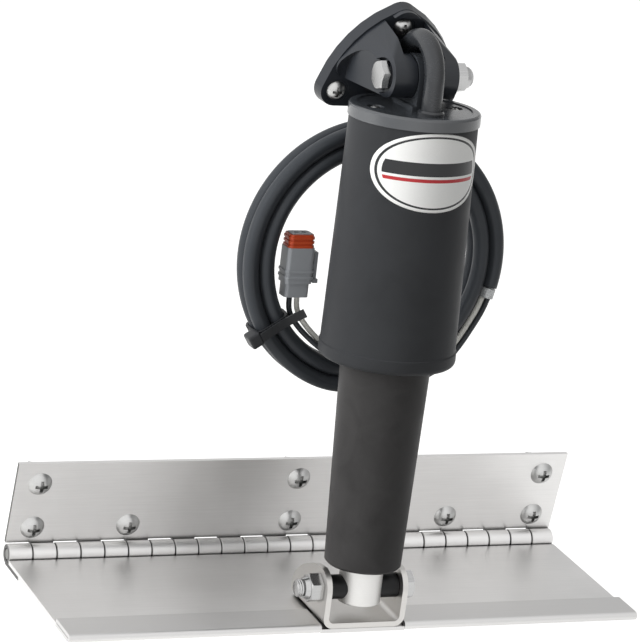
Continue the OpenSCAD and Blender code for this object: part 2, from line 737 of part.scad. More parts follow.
// Moulded bracket: base and shoulders, with a slot for the lug and the cable, then two bosses
module upper_bracket() {
    pocket_d = bracket_head_d + 3;
    far = bracket_reach + cut;
    front = bracket_reach - base_t;
    color(black_shell) at_upper_pivot() difference() {
        union() {
            translate([0, bracket_reach, 0]) bracket_base();
            difference() {
                bracket_shoulders();
                translate([-slot_w / 2, -far, -far]) cube([slot_w, far + front - nose, 2 * far]);
                translate([-slot_w / 2, -far, -far])
                    cube([slot_w, far + front, far + top_screw_up + pocket_d / 2]);
                for (side = [0, 1]) mirror([side, 0, 0]) flank_recess();
            }
            for (side = [0, 180]) rotate([0, 0, side]) bar_x(boss_r, boss_in, slot_w / 2 + cut);
        }
        rotate([-lean, 0, 0]) translate([0, 0, cap_z - actuator_len - cut])
            cylinder(r = cap_d / 2 + cap_room, h = cap_h + cut + cap_room);
        bar_x(bolt_d / 2 + seat_fit, -far, far);
        translate([bolt_pocket - boss_out, 0, 0]) rotate([0, -90, 0])
            cylinder(r = bolt_af / sqrt(3) + 0.5, h = far, $fn = 6);
        for (p = bracket_screw_places) translate([p[0], bracket_reach + cut, p[1]]) rotate([90, 0, 0]) {
            cylinder(d = bracket_screw_d + 4 * seat_fit, h = far);
            translate([0, 0, base_t + cut - 0.5]) cylinder(d = pocket_d, h = far);
        }
        rotate([90, 0, 90]) rotate([0, 0, loop_to]) translate([loop_r, 0, 0]) rotate([90, 0, 0])
            cylinder(r = gland_r, h = 2 * far);
    }
}

module upper_bolt() {
    color(bright_steel) at_upper_pivot() pivot_bolt(bolt_pocket - boss_out, boss_out, upper_tip);
}

module upper_nut() {
    color(bright_steel) at_upper_pivot() pivot_nut(boss_out, 1);
}

module bracket_screws() {
    neck_l = base_t - 0.5;
    color(bright_steel) at_upper_pivot() for (p = bracket_screw_places)
        translate([p[0], bracket_reach - base_t + 0.5, p[1]]) rotate([90, 0, 0])
            pan_screw(bracket_head_d, bracket_screw_d, bracket_screw_len + neck_l, neck_l);
}

// Rubber gland in the base, trimmed level with both faces
module cable_gland() {
    color(black_rubber) at_upper_pivot() intersection() {
        rotate([90, 0, 90]) rotate([0, 0, loop_to]) translate([loop_r, 0, 0]) rotate([90, 0, 0])
            difference() {
                cylinder(r = gland_r - seat_fit, h = 2 * bracket_reach);
                translate([0, 0, -cut]) cylinder(r = loop_hole_r, h = 3 * bracket_reach);
            }
        translate([-gland_r, bracket_reach - base_t, -2 * bracket_reach])
            cube([2 * gland_r, base_t, 3 * bracket_reach]);
    }
}

// Curve through route points, and a round tube swept along it
function along(p, i, t) =
    let (a = p[max(i - 1, 0)], b = p[i], c = p[i + 1], d = p[min(i + 2, len(p) - 1)])
    0.5 * (2 * b + (c - a) * t + (2 * a - 5 * b + 4 * c - d) * t * t
        + (3 * b - a - 3 * c + d) * t * t * t);
function curve(p, steps) = concat(
    [for (i = [0 : len(p) - 2], s = [0 : steps - 1]) along(p, i, s / steps)], [p[len(p) - 1]]);
function unit(v) = v / norm(v);
function heading(p, i) = unit(p[min(i + 1, len(p) - 1)] - p[max(i - 1, 0)]);

module tube(path, d, sides) {
    rings = len(path);
    aside = unit([0.3, 1, 0.25]);
    points = [for (i = [0 : rings - 1])
        let (t = heading(path, i), u = unit(cross(t, aside)), v = cross(t, u))
        for (k = [0 : sides - 1]) path[i] + d / 2 * (cos(k * 360 / sides) * u + sin(k * 360 / sides) * v)];
    walls = [for (i = [0 : rings - 2], k = [0 : sides - 1])
        let (n = (k + 1) % sides)
        [i * sides + k, (i + 1) * sides + k, (i + 1) * sides + n, i * sides + n]];
    ends = [[for (k = [0 : sides - 1]) k], [for (k = [sides - 1 : -1 : 0]) (rings - 1) * sides + k]];
    polyhedron(points, concat(walls, ends));
}

// A point of the coil's frame in the upper pivot's frame
function from_coil(p) =
    let (q = p + [coil_side, coil_back, coil_up - actuator_len])
    [q[0], q[1] * cos(lean) + q[2] * sin(lean), q[2] * cos(lean) - q[1] * sin(lean)];

module cable_lead() {
    way = [0, sin(loop_to), -cos(loop_to)];
    start = [for (step = [0, 7, 14]) lead_start + step * way];
    route = concat(start, [for (p = lead_route) from_coil(p)]);
    color(black_rubber) at_upper_pivot() tube(curve(route, 2), cable_d, 12);
}

// Coil: three full strands side by side and a fourth that stops at the cable's end
module cable_coil() {
    lap = 0.6;
    skin = 0.1;
    color(black_rubber) at_coil() rotate([90, 0, 0]) {
        rotate_extrude() polygon([[inner_strand - cable_d / 2, -cable_d], [coil_r, -cable_d],
            [coil_r, 0], [coil_r - cable_d, 0], [coil_r - cable_d, cable_d],
            [inner_strand - cable_d / 2, cable_d]]);
        rotate([0, 0, strand_end]) rotate_extrude(angle = strand_arc)
            translate([coil_r - cable_d - lap, -lap]) square(cable_d + lap - skin);
    }
}

module cable_tie() {
    r_in = inner_strand - cable_d / 2 - tie_fit;
    r_out = coil_r + tie_fit;
    half = cable_d + tie_fit;
    head = 7.5;
    tail = 5;
    color(black_rubber) at_coil() rotate([90, 0, 0]) rotate([0, 0, tie_at]) {
        difference() {
            translate([r_in - tie_t, -tie_w / 2, -half - tie_t])
                cube([r_out - r_in + 2 * tie_t, tie_w, 2 * half + 2 * tie_t]);
            translate([r_in, -tie_w, -half]) cube([r_out - r_in, 2 * tie_w, 2 * half]);
        }
        translate([r_out + tie_t - cut, -head / 2, half + tie_t - head]) cube([head - 1.5, head, head]);
        translate([r_in - tie_t - tail, -tie_w / 2, half]) cube([tail + cut, tie_w, tie_t]);
    }
}

// Band that closes the cut end of the jacket
module cable_end_sleeve() {
    at = strand_end - 0.6;
    color([0.7, 0.71, 0.72]) at_coil() rotate([90, 0, 0]) rotate([0, 0, at])
        translate([outer_strand, 0, cable_d / 2]) rotate([90, 0, 0])
            cylinder(d = cable_d - 0.7, h = outer_strand * sleeve_arc * PI / 180 - 0.8);
}

module wire_white() {
    color([0.9, 0.9, 0.88]) at_coil() tube(curve(white_route, 3), wire_d, 8);
}

module wire_black() {
    color(black_rubber) at_coil() tube(curve(black_route, 3), wire_d, 8);
}

// A box with rounded upright edges, standing on z = 0
module soft_box(w, t, h, r) {
    linear_extrude(h) union() {
        square([w - 2 * r, t], center = true);
        square([w, t - 2 * r], center = true);
        for (x = [-1, 1], y = [-1, 1]) translate([x * (w / 2 - r), y * (t / 2 - r)]) circle(r);
    }
}

module at_connector() {
    at_coil() translate([connector_x, connector_y, connector_foot]) children();
}

// Connector: wire end below, open mating end above
module connector_housing() {
    step_h = 7;
    color([0.62, 0.63, 0.65]) at_connector() difference() {
        union() {
            soft_box(connector_w - 1.6, connector_t - 1.6, step_h + cut, 2);
            translate([0, 0, step_h]) soft_box(connector_w, connector_t, connector_h - step_h, 2);
            translate([0, 0, connector_h - cut])
                soft_box(connector_w - 3.4, connector_t - 3.4, connector_collar_h, 1.4);
            for (z = [9.5, 12.5]) translate([0, 0, z])
                soft_box(connector_w + 0.8, connector_t + 0.8, 1.2, 2);
        }
        for (side = [-1, 1]) translate([side * 2, 0, connector_h - 6])
            cylinder(d = 2.4, h = connector_h);
    }
}

module connector_latch() {
    latch_t = 1.8;
    color([0.58, 0.59, 0.61]) at_connector() translate([connector_w / 2 + 0.4, 0, 0]) {
        translate([0, -2.6, 14]) cube([latch_t + 0.6, 5.2, 2.4]);
        translate([0.6, -2.6, 8.5]) cube([latch_t, 5.2, 14]);
        translate([0.6, -3.2, 7]) cube([latch_t + 0.8, 6.4, 2]);
    }
}

module connector_seal() {
    ribs = 3;
    pitch = 2.2;
    w_in = connector_w - 3.4 + 2 * seat_fit;
    t_in = connector_t - 3.4 + 2 * seat_fit;
    color([0.88, 0.38, 0.16]) at_connector() translate([0, 0, connector_h]) difference() {
        union() {
            soft_box(connector_w - 1.6, connector_t - 1.6, ribs * pitch, 2);
            for (k = [0 : ribs - 1]) translate([0, 0, k * pitch])
                soft_box(connector_w - 0.6, connector_t - 0.6, pitch / 2, 2.2);
        }
        translate([0, 0, -cut]) soft_box(w_in, t_in, ribs * pitch + 2 * cut, 1.4);
    }
}

flange_leaf();
hinge_pin();
flange_screws();
tab_plate();
tab_hinge_leaf();
ram_bracket();
lower_bolt();
lower_nut();
ram_tube();
ram_bushings();
drive_nut();
lower_housing();
upper_housing();
top_cap();
cap_screws();
housing_oring();
wiper_seal();
ram_guide();
thrust_bearing();
gearbox();
motor();
motor_pad();
pivot_sleeve();
loop_grommet();
cable_loop();
lead_screw();
upper_bracket();
upper_bolt();
upper_nut();
bracket_screws();
cable_gland();
cable_lead();
cable_coil();
cable_tie();
cable_end_sleeve();
wire_white();
wire_black();
connector_housing();
connector_latch();
connector_seal();
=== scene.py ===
"""Boat trim tab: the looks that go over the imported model, in its frame and in metres.

Run as a script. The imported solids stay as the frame. This file adds the cable, the wires, the tie,
the housings' outer forms, the ram bracket's bent sheet, the rubber loop, the oval label and the
threads, gives every piece its finish, and sets the stage.
"""

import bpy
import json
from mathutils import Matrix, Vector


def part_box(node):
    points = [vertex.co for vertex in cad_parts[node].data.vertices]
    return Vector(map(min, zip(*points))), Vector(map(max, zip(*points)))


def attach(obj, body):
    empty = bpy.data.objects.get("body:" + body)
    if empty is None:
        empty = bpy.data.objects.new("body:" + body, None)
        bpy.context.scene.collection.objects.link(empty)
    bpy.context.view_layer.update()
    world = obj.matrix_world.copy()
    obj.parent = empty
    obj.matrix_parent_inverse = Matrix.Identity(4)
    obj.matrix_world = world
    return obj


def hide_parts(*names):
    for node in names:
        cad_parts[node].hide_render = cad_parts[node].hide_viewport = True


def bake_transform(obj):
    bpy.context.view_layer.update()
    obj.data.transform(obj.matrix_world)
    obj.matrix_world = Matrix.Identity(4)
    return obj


bl_info = {
    "name": "Boat trim tab",
    "version": (1, 0, 0),
    "blender": (4, 5, 0),
    "location": "3D View > Sidebar > Trim tab",
    "description": "Dresses a hinged trim tab with its actuator, cable coil and finishes",
    "category": "Object",
}

import json

import bpy
import numpy as np
from bpy.props import FloatProperty, FloatVectorProperty, PointerProperty
from mathutils import Matrix, Vector

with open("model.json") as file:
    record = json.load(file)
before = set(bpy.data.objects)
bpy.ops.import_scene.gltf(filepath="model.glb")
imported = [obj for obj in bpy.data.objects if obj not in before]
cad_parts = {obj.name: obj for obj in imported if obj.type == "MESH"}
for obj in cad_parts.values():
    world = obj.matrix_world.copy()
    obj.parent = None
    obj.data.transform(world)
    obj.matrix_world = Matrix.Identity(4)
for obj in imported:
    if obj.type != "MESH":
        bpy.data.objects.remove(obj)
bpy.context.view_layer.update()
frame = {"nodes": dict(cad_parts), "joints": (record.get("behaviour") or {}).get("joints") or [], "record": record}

MM = 0.001
JOINT = {joint["name"]: joint for joint in frame["joints"]}
SLOT = {row["node"]: row["material_slot"] for row in frame["record"]["subparts"]}
HINGE = np.array(JOINT["tab_hinge"]["pos_m"])
LOW_PIVOT = np.array(JOINT["lower_pivot"]["pos_m"])
TOP_PIVOT = np.array(JOINT["upper_pivot"]["pos_m"])
ALONG = np.array(JOINT["ram_slide"]["axis"])
ALONG = ALONG / np.linalg.norm(ALONG)
BEHIND = np.array([0.0, ALONG[2], -ALONG[1]])
SIDEWAYS = np.array([1.0, 0.0, 0.0])

# Coil, in millimetres: its middle in the actuator's frame, the radius at the middle of its four
# strands, and the angles between which the strands change places behind the lower housing
COIL_MIDDLE = np.array([10.0, 51.0, 154.0])
BUNDLE_R = 61.9
CABLE_ENTERS, CABLE_ENDS = 103.6, 1452.0
CHANGE_FROM, CHANGE_OVER = 66.0, 44.0
TIE_AT = 213.0

# Routes of the part's source, in the coil's frame: side, back, up
LEAD_ROUTE = [
    [-9.5, 5, 82.5], [-8.8, 11, 74.5], [-8, 14.5, 65], [-7, 15.5, 54], [-3.5, 15.6, 43],
    [2, 15.6, 31], [9, 15.5, 18.5], [16.5, 15.4, 6], [23, 15.3, -7], [27.2, 15.2, -20],
    [28.3, 15, -32.5], [25.8, 14.8, -44.5], [18.8, 14.6, -54.8], [8.2, 14.4, -62],
    [-4, 13.8, -65.4]]
WHITE_ROUTE = [
    [61.4, -4, -19.15], [58.9, -4, -25.7], [54.5, -4, -34.1], [48.2, -5.8, -42.6], [39.6, -8.6, -50.7],
    [30, -10, -55.8], [18, -10.3, -57.3], [6, -10.3, -55.8], [-6, -10, -52.5], [-17, -8, -47.5],
    [-27, -5.2, -40.3], [-34.5, -3.2, -32.5], [-38.3, -2.3, -26], [-39, -2, -19.2]]
BLACK_ROUTE = [
    [64.6, -4, -19.8], [61.9, -4, -27.1], [57.3, -4, -35.8], [50.6, -5.8, -44.8], [41.6, -8.6, -53.3],
    [31.5, -10, -58.9], [18.8, -10.3, -60.6], [6, -10.3, -59], [-7, -10.3, -55.5], [-18.3, -10, -49.6],
    [-29.2, -7.5, -42.2], [-37.8, -4.5, -34.3], [-42.3, -2.5, -27], [-43, -2, -19.2]]

# Tab: its rise at rest in degrees, and from the hinge pin to the edge of the hem and to the
# trailing edge
TAB_RISE = 10.5
HEM_START, TAB_REACH = 82.9, 105.0
# Room left under the trailing edge at the end of the swing, and half the floor's width in metres
FLOOR_GAP, FLOOR_HALF = 10.0, 9.0

# Ram bracket in the tab's frame: half width, underside, outer bend and sheet, the pivot's place and
# the ears' radius round it, and the ears' back edge from top to heel
CHANNEL_HALF, CHANNEL_LOW, CHANNEL_BEND, CHANNEL_SHEET = 21.7, -1.225, 5.5, 2.8
EAR_BACK, EAR_UP, EAR_R = -92.7, 16.775, 10.3
EAR_EDGE = [[-92.7, 27.07, 0], [-86, 26.3, 0], [-80.4, 24.6, 0], [-70.5, 19.8, 0], [-63.2, 14, 0],
            [-60.2, 9, 0], [-59.6, 4, 0], [-60, -2, 0]]
EAR_ROWS, BEND_ROWS, SHEET_COLUMNS = 40, 12, 24

# Upper housing in the actuator's frame: heights and radii at the foot of its taper and at the cap
BODY_LOW, BODY_LOW_R, BODY_TOP, BODY_TOP_R = 124.6, 33.0, 235.5, 31.0
# Height of the label's middle
LABEL_MIDDLE = 216.0
# Edges that turn by more than this stay sharp
SHARP = np.radians(35)

# Rubber loop in the upper pivot's frame: bend radius, angles from straight back, straight ends
LOOP_R, LOOP_TO, LOOP_RISE = 18.0, 40.0, 20.5
BRACKET_REACH = 33.5

# Cable tie: half width of its loop, and how square the loop is (one is round)
TIE_HALF, TIE_SQUARE = 8.95, 0.42
# Rib height and pitch of its strap
TIE_RIB, TIE_PITCH = 0.28, 1.5

# Threads: core radius, length, crest and point of the flange's and the bracket's screws, and the
# core radius and crest of the pivot bolts
FLANGE_THREAD = (3.07, 18.9, 0.35, 4.9)
BRACKET_THREAD = (2.42, 12.9, 0.3, 3.9)
BOLT_CORE, BOLT_CREST = 4.02, 0.4
# Screw places: side of the flange's outer and inner columns, half its row pitch; and the bracket's
# upper screw and lower pair from the upper pivot
FLANGE_OUTER, FLANGE_INNER, FLANGE_ROW = 139.7, 88.9, 12.7
BRACKET_UPPER, BRACKET_SIDE, BRACKET_LOWER = 12.6, 27.7, -21.4

# Camera fitted to the photograph: place in metres, its right, down and forward axes, and the focal
# length and the picture's height in pixels
CAMERA_PLACE = (-0.66388, -1.33664, 0.85438)
CAMERA_RIGHT, CAMERA_DOWN = (0.9192, -0.3443, 0.1918), (-0.0011, -0.4889, -0.8724)
CAMERA_AHEAD = (0.3942, 0.8015, -0.4497)
FOCAL_PX, PHOTO_PX = 3326.4, 642
# Soft lamps: name, place, size in metres and watts; and the point that they face
LAMPS = (("left_softbox", (-1.6, 0.1, 0.75), 1.1, 36.0), ("top_softbox", (0.1, -0.2, 1.5), 1.1, 5.0),
         ("front_fill", (-0.7, -1.5, 0.5), 1.0, 5.0))
LAMP_AIM = (0.0, -0.05, 0.1)


def linear(hex_colour):
    """sRGB hex digits as linear red, green, blue and an alpha of one."""
    srgb = np.array([int(hex_colour[i:i + 2], 16) / 255 for i in (0, 2, 4)])
    value = np.where(srgb <= 0.04045, srgb / 12.92, ((srgb + 0.055) / 1.055) ** 2.4)
    return (*value.tolist(), 1.0)


def colour_property(name, description, hex_colour):
    return FloatVectorProperty(name=name, description=description, default=linear(hex_colour),
                               subtype="COLOR", size=4, min=0.0, max=1.0)


def length_property(name, description, millimetres):
    return FloatProperty(name=name, description=description, default=millimetres * MM,
                         unit="LENGTH", min=0.0, precision=4)


class TrimTabSizes(bpy.types.PropertyGroup):
    """Sizes of the pieces that this file adds to the solids."""
    cable_d: length_property("Cable", "Diameter of the coiled cable", 8.1)
    wire_d: length_property("Wires", "Diameter of the two wires at the connector", 2.8)
    loop_d: length_property("Rubber loop", "Diameter of the loop over the upper pivot", 9.6)
    label_w: length_property("Label width", "Width of the oval label round the housing", 68.6)
    label_h: length_property("Label height", "Height of the oval label", 37.8)
    bolt_pitch: length_property("Bolt thread", "Thread pitch of the pivot bolts", 1.25)
    screw_pitch: length_property("Screw thread", "Thread pitch of the transom screws", 2.6)


class TrimTabColours(bpy.types.PropertyGroup):
    """Main colours of the finishes."""
    sheet: colour_property("Sheet steel", "Satin stainless sheet", "E8E7E6")
    bright: colour_property("Bright steel", "Polished stainless fasteners", "BCBCBC")
    shell: colour_property("Housing", "Moulded black housing", "333436")
    cap: colour_property("Cap", "Moulded cap", "3C3F43")
    jacket: colour_property("Cable jacket", "Extruded cable jacket", "36393D")
    label: colour_property("Label", "Ground of the oval label", "F2F2F0")
    stripe: colour_property("Label stripe", "Thin stripe on the label", "B3262B")
    connector: colour_property("Connector", "Moulded connector", "A0A3A7")
    seal: colour_property("Connector seal", "Silicone seal on the connector", "CE5430")


def in_actuator(points):
    """Millimetres in the actuator's frame (side, back, up from the lower pivot) to the row's metres."""
    points = np.asarray(points, float) * MM
    return LOW_PIVOT + points[..., :1] * SIDEWAYS + points[..., 1:2] * BEHIND + points[..., 2:] * ALONG


def in_tab(points):
    """Millimetres in the tab's frame (side, back, up from the hinge pin) to the row's metres."""
    points = np.asarray(points, float) * MM
    lean = np.radians(TAB_RISE)
    back = points[..., 1] * np.cos(lean) + points[..., 2] * np.sin(lean)
    up = points[..., 2] * np.cos(lean) - points[..., 1] * np.sin(lean)
    return HINGE + np.stack([points[..., 0], back, up], -1)


def in_coil(points):
    """Millimetres from the coil's middle, in the actuator's frame, to the row's metres."""
    return in_actuator(np.asarray(points, float) + COIL_MIDDLE)


def smooth_curve(points, steps):
    """Points on a Catmull-Rom curve: each span is the cubic through its ends with neighbour slopes."""
    p = np.asarray(points, float)
    before = np.vstack([p[:1], p[:-2]])
    after = np.vstack([p[2:], p[-1:]])
    a, b, c, d = (q[:, None, :] for q in (before, p[:-1], p[1:], after))
    t = (np.arange(steps) / steps)[None, :, None]
    spans = 0.5 * (2 * b + (c - a) * t + (2 * a - 5 * b + 4 * c - d) * t ** 2
                   + (3 * b - a - 3 * c + d) * t ** 3)
    return np.vstack([spans.reshape(-1, 3), p[-1:]])


def unit(v):
    return v / np.linalg.norm(v, axis=-1, keepdims=True)


def step(x):
    """Zero below 0, one above 1, and a smooth cubic between."""
    x = np.clip(x, 0.0, 1.0)
    return x * x * (3 - 2 * x)


def run_of(path):
    """Distance along a path at each of its points."""
    return np.concatenate([[0.0], np.cumsum(np.linalg.norm(np.diff(path, axis=0), axis=1))])


def grid_faces(rows, columns, close_columns):
    """Quads of a grid of rows by columns, the columns joined round where they close."""
    last = columns if close_columns else columns - 1
    r, c = np.meshgrid(np.arange(rows - 1), np.arange(last), indexing="ij")
    n = (c + 1) % columns
    return np.stack([r * columns + c, r * columns + n, (r + 1) * columns + n, (r + 1) * columns + c],
                    -1).reshape(-1, 4)


def make_piece(name, points, faces, finish, slot, uv=None, smooth=True):
    """A mesh object at the origin from points and faces, with one UV pair a vertex where it is given."""
    mesh = bpy.data.meshes.new(name)
    mesh.from_pydata(np.asarray(points).tolist(), [], [list(f) for f in faces])
    mesh.polygons.foreach_set("use_smooth", np.full(len(mesh.polygons), smooth))
    if uv is not None:
        corners = np.empty(len(mesh.loops), np.int32)
        mesh.loops.foreach_get("vertex_index", corners)
        layer = mesh.uv_layers.new(name="UVMap")
        layer.uv.foreach_set("vector", np.asarray(uv, np.float32)[corners].ravel())
    mesh.materials.append(finish)
    mesh.validate()
    mesh.update()
    piece = bpy.data.objects.new(name, mesh)
    bpy.context.scene.collection.objects.link(piece)
    return piece


def swept(path, across, profile):
    """Rings of a profile carried along a path: each ring lies across the path, its first axis
    at right angles to the given direction. The profile is (rings, points, 2) or (points, 2)."""
    ahead = unit(np.gradient(path, axis=0))
    u = unit(np.cross(ahead, across))
    v = np.cross(ahead, u)
    return path[:, None] + profile[..., :1] * u[:, None] + profile[..., 1:] * v[:, None]


def circle(sides):
    turn = np.arange(sides) * 2 * np.pi / sides
    return np.stack([np.cos(turn), np.sin(turn)], -1)


def closed_sweep(rings):
    """Points and faces of rings joined in order, with a middle point closing each end."""
    rows, columns = rings.shape[:2]
    points = np.vstack([rings.reshape(-1, 3), rings[0].mean(0), rings[-1].mean(0)])
    k = np.arange(columns)
    n = (k + 1) % columns
    first, last = rows * columns, rows * columns + 1
    ends = [np.stack([n, k, np.full(columns, first)], -1),
            np.stack([(rows - 1) * columns + k, (rows - 1) * columns + n, np.full(columns, last)], -1)]
    faces = [*grid_faces(rows, columns, True).tolist(), *np.vstack(ends).tolist()]
    return points, faces


def make_tube(name, path, across, diameter, sides, finish, slot):
    """A round tube along a path. Its UV map runs round the tube and along it in metres."""
    rings = swept(path, across, circle(sides) * diameter / 2)
    points, faces = closed_sweep(rings)
    run = run_of(path)
    uv = np.stack(np.broadcast_arrays(np.arange(sides)[None] / sides, run[:, None]), -1).reshape(-1, 2)
    uv = np.vstack([uv, [0.5, run[0]], [0.5, run[-1]]])
    return make_piece(name, points, outward(points, faces), finish, slot, uv)


def outward(points, faces):
    """Faces of a closed shape, all turned over where its signed volume is negative."""
    points = np.asarray(points)
    fans = np.array([(f[0], f[i], f[i + 1]) for f in faces for i in range(1, len(f) - 1)])
    a, b, c = (points[fans[:, i]] - points.mean(0) for i in range(3))
    volume = np.einsum("ij,ij->i", a, np.cross(b, c)).sum()
    return faces if volume > 0 else [f[::-1] for f in faces]


def joined(parts):
    """Points and faces of several closed shapes as one mesh, each shape's faces outward."""
    points, faces, base = [], [], 0
    for p, f in parts:
        faces += [[i + base for i in face] for face in outward(p, f)]
        points.append(p)
        base += len(p)
    return np.vstack(points), faces


def cable_path():
    """Centreline of the cable: down behind the coil, then four strands wound round with falling angle.
    The strands stand at the corners of a square, and in one stretch of each turn the square itself
    makes a quarter turn, so that each strand takes its neighbour's place and none is crossed."""
    heading = np.array([0, np.sin(np.radians(LOOP_TO)), -np.cos(np.radians(LOOP_TO))])
    edge = np.array([0, np.cos(np.radians(LOOP_TO)), np.sin(np.radians(LOOP_TO))]) * LOOP_R
    reach = (BRACKET_REACH - edge[1]) / heading[1]
    start = TOP_PIVOT + (edge + (reach + np.array([[0], [7], [14]])) * heading) * MM
    turn = np.linspace(CABLE_ENTERS, CABLE_ENDS, 300)
    swaps = sum(step((turn - CHANGE_FROM - 360 * k) / CHANGE_OVER) for k in (1, 2, 3))
    corner = np.radians(45 + 90 * swaps)
    corner_r = bpy.context.scene.trim_tab_sizes.cable_d / MM / np.sqrt(2)
    radius = BUNDLE_R + corner_r * np.cos(corner)
    back = corner_r * np.sin(corner) + 8.55 * (1 - step((turn - CABLE_ENTERS) / 30))
    angle = -np.radians(turn)
    coil = np.stack([radius * np.cos(angle), back, radius * np.sin(angle)], -1)
    route = np.vstack([start, in_coil(LEAD_ROUTE), in_coil(coil)])
    return smooth_curve(route, 2)


def loop_path():
    """Centreline of the rubber loop: straight up from the cap, round the pivot, straight into the base."""
    lean = np.degrees(np.arctan2(ALONG[1], ALONG[2]))
    angle = np.radians(np.linspace(180 - lean, LOOP_TO, 60))
    bend = np.stack([np.zeros_like(angle), np.cos(angle), np.sin(angle)], -1) * LOOP_R
    heading = np.array([0, np.sin(np.radians(LOOP_TO)), -np.cos(np.radians(LOOP_TO))])
    run = (BRACKET_REACH - bend[-1, 1]) / heading[1] - 1
    rise = bend[0] - np.linspace(LOOP_RISE, 0.8, 24)[:, None] * ALONG
    fall = bend[-1] + np.linspace(0.8, run, 26)[:, None] * heading
    return TOP_PIVOT + np.vstack([rise, bend, fall]) * MM


def add(tree, kind, inputs=None, **settings):
    """Add one node, set its properties, then set or link its inputs."""
    made = tree.nodes.new(kind)
    for key, value in settings.items():
        setattr(made, key, value)
    for key, value in (inputs or {}).items():
        if isinstance(value, bpy.types.NodeSocket):
            tree.links.new(value, made.inputs[key])
        else:
            made.inputs[key].default_value = value
    return made


def start_finish(name):
    material = bpy.data.materials.new(name)
    material.use_nodes = True
    material.node_tree.nodes.clear()
    return material, material.node_tree


def shade(colour, factor):
    """A linear colour made lighter or darker."""
    return (*[min(1.0, c * factor) for c in colour[:3]], 1.0)


def rolled_steel(name, colour, rough, streak_mm, along, spread=0.06, recess_mm=0.0, fold=None, ends=False):
    """Stainless steel, rolled or turned: fine streaks in one direction that blur reflections along
    it, and a slow drift of tone and gloss over the surface. Where a recess size is given, slots and
    corners narrower than it are darkened in the colour by painted shade from ambient occlusion.
    Beyond a fold line, given as a direction and a distance along it, the sheet's colour is darker.
    Where ends are asked for, faces that look along the span, the knuckle ends in the gaps between
    knuckles, are darkened in the colour by painted shade."""
    material, tree = start_finish(name)
    place = add(tree, "ShaderNodeTexCoord").outputs["Object"]
    stretch = tuple(40.0 if k == along else 1000.0 / streak_mm for k in range(3))
    drawn = add(tree, "ShaderNodeMapping", {"Vector": place, "Scale": stretch}).outputs[0]
    streaks = add(tree, "ShaderNodeTexNoise",
                  {"Vector": drawn, "Scale": 1.0, "Detail": 4.0, "Roughness": 0.6})
    clouds = add(tree, "ShaderNodeTexNoise", {"Vector": place, "Scale": 28.0, "Detail": 3.0})
    marks = add(tree, "ShaderNodeMath", {0: streaks.outputs[0], 1: clouds.outputs[0]}, operation="MULTIPLY")
    tone = add(tree, "ShaderNodeMapRange", {0: marks.outputs[0], 1: 0.12, 2: 0.42})
    base = add(tree, "ShaderNodeMix", {0: tone.outputs[0], 6: shade(colour, 1 - spread),
                                       7: shade(colour, 1 + spread / 2)}, data_type="RGBA").outputs[2]
    # Painted shade: slots and corners narrower than the recess size darken in the colour by ambient occlusion
    if recess_mm:
        free = add(tree, "ShaderNodeAmbientOcclusion", {"Distance": recess_mm * MM}, samples=8).outputs["AO"]
        clear = add(tree, "ShaderNodeMapRange", {0: free, 1: 0.2, 2: 0.75})
        base = add(tree, "ShaderNodeMix", {0: clear.outputs[0], 6: shade(colour, 0.22), 7: base},
                   data_type="RGBA").outputs[2]
    # Beyond the fold line the sheet's colour is darker
    if fold:
        along_fold = add(tree, "ShaderNodeVectorMath", {0: place, 1: fold[0]}, operation="DOT_PRODUCT")
        inside = add(tree, "ShaderNodeMapRange", {0: along_fold.outputs["Value"], 1: fold[1] - 0.2 * MM,
                                                  2: fold[1] + 0.2 * MM})
        base = add(tree, "ShaderNodeMix", {0: inside.outputs[0], 6: shade(colour, 0.85), 7: base},
                   data_type="RGBA").outputs[2]
    # Painted shade: faces that look along the span, the knuckle ends in the gaps between knuckles, darken in the
    # colour
    if ends:
        facing = add(tree, "ShaderNodeNewGeometry").outputs["True Normal"]
        across = add(tree, "ShaderNodeVectorMath", {0: facing}, operation="ABSOLUTE").outputs[0]
        side = add(tree, "ShaderNodeSeparateXYZ", {0: across}).outputs["X"]
        painted_end_shade = add(tree, "ShaderNodeMapRange", {0: side, 1: 0.5, 2: 0.9})
        base = add(tree, "ShaderNodeMix", {0: painted_end_shade.outputs[0], 6: base, 7: shade(colour, 0.12)},
                   data_type="RGBA").outputs[2]
    gloss = add(tree, "ShaderNodeMapRange",
                {0: marks.outputs[0], 1: 0.12, 2: 0.42, 3: rough * 0.9, 4: rough * 1.12})
    bump = add(tree, "ShaderNodeBump", {"Height": streaks.outputs[0], "Strength": 0.15, "Distance": 0.00001})
    shader = add(tree, "ShaderNodeBsdfPrincipled",
                 {"Base Color": base, "Metallic": 1.0, "Roughness": gloss.outputs[0],
                  "Normal": bump.outputs[0]})
    add(tree, "ShaderNodeOutputMaterial", {0: shader.outputs[0]})
    return material


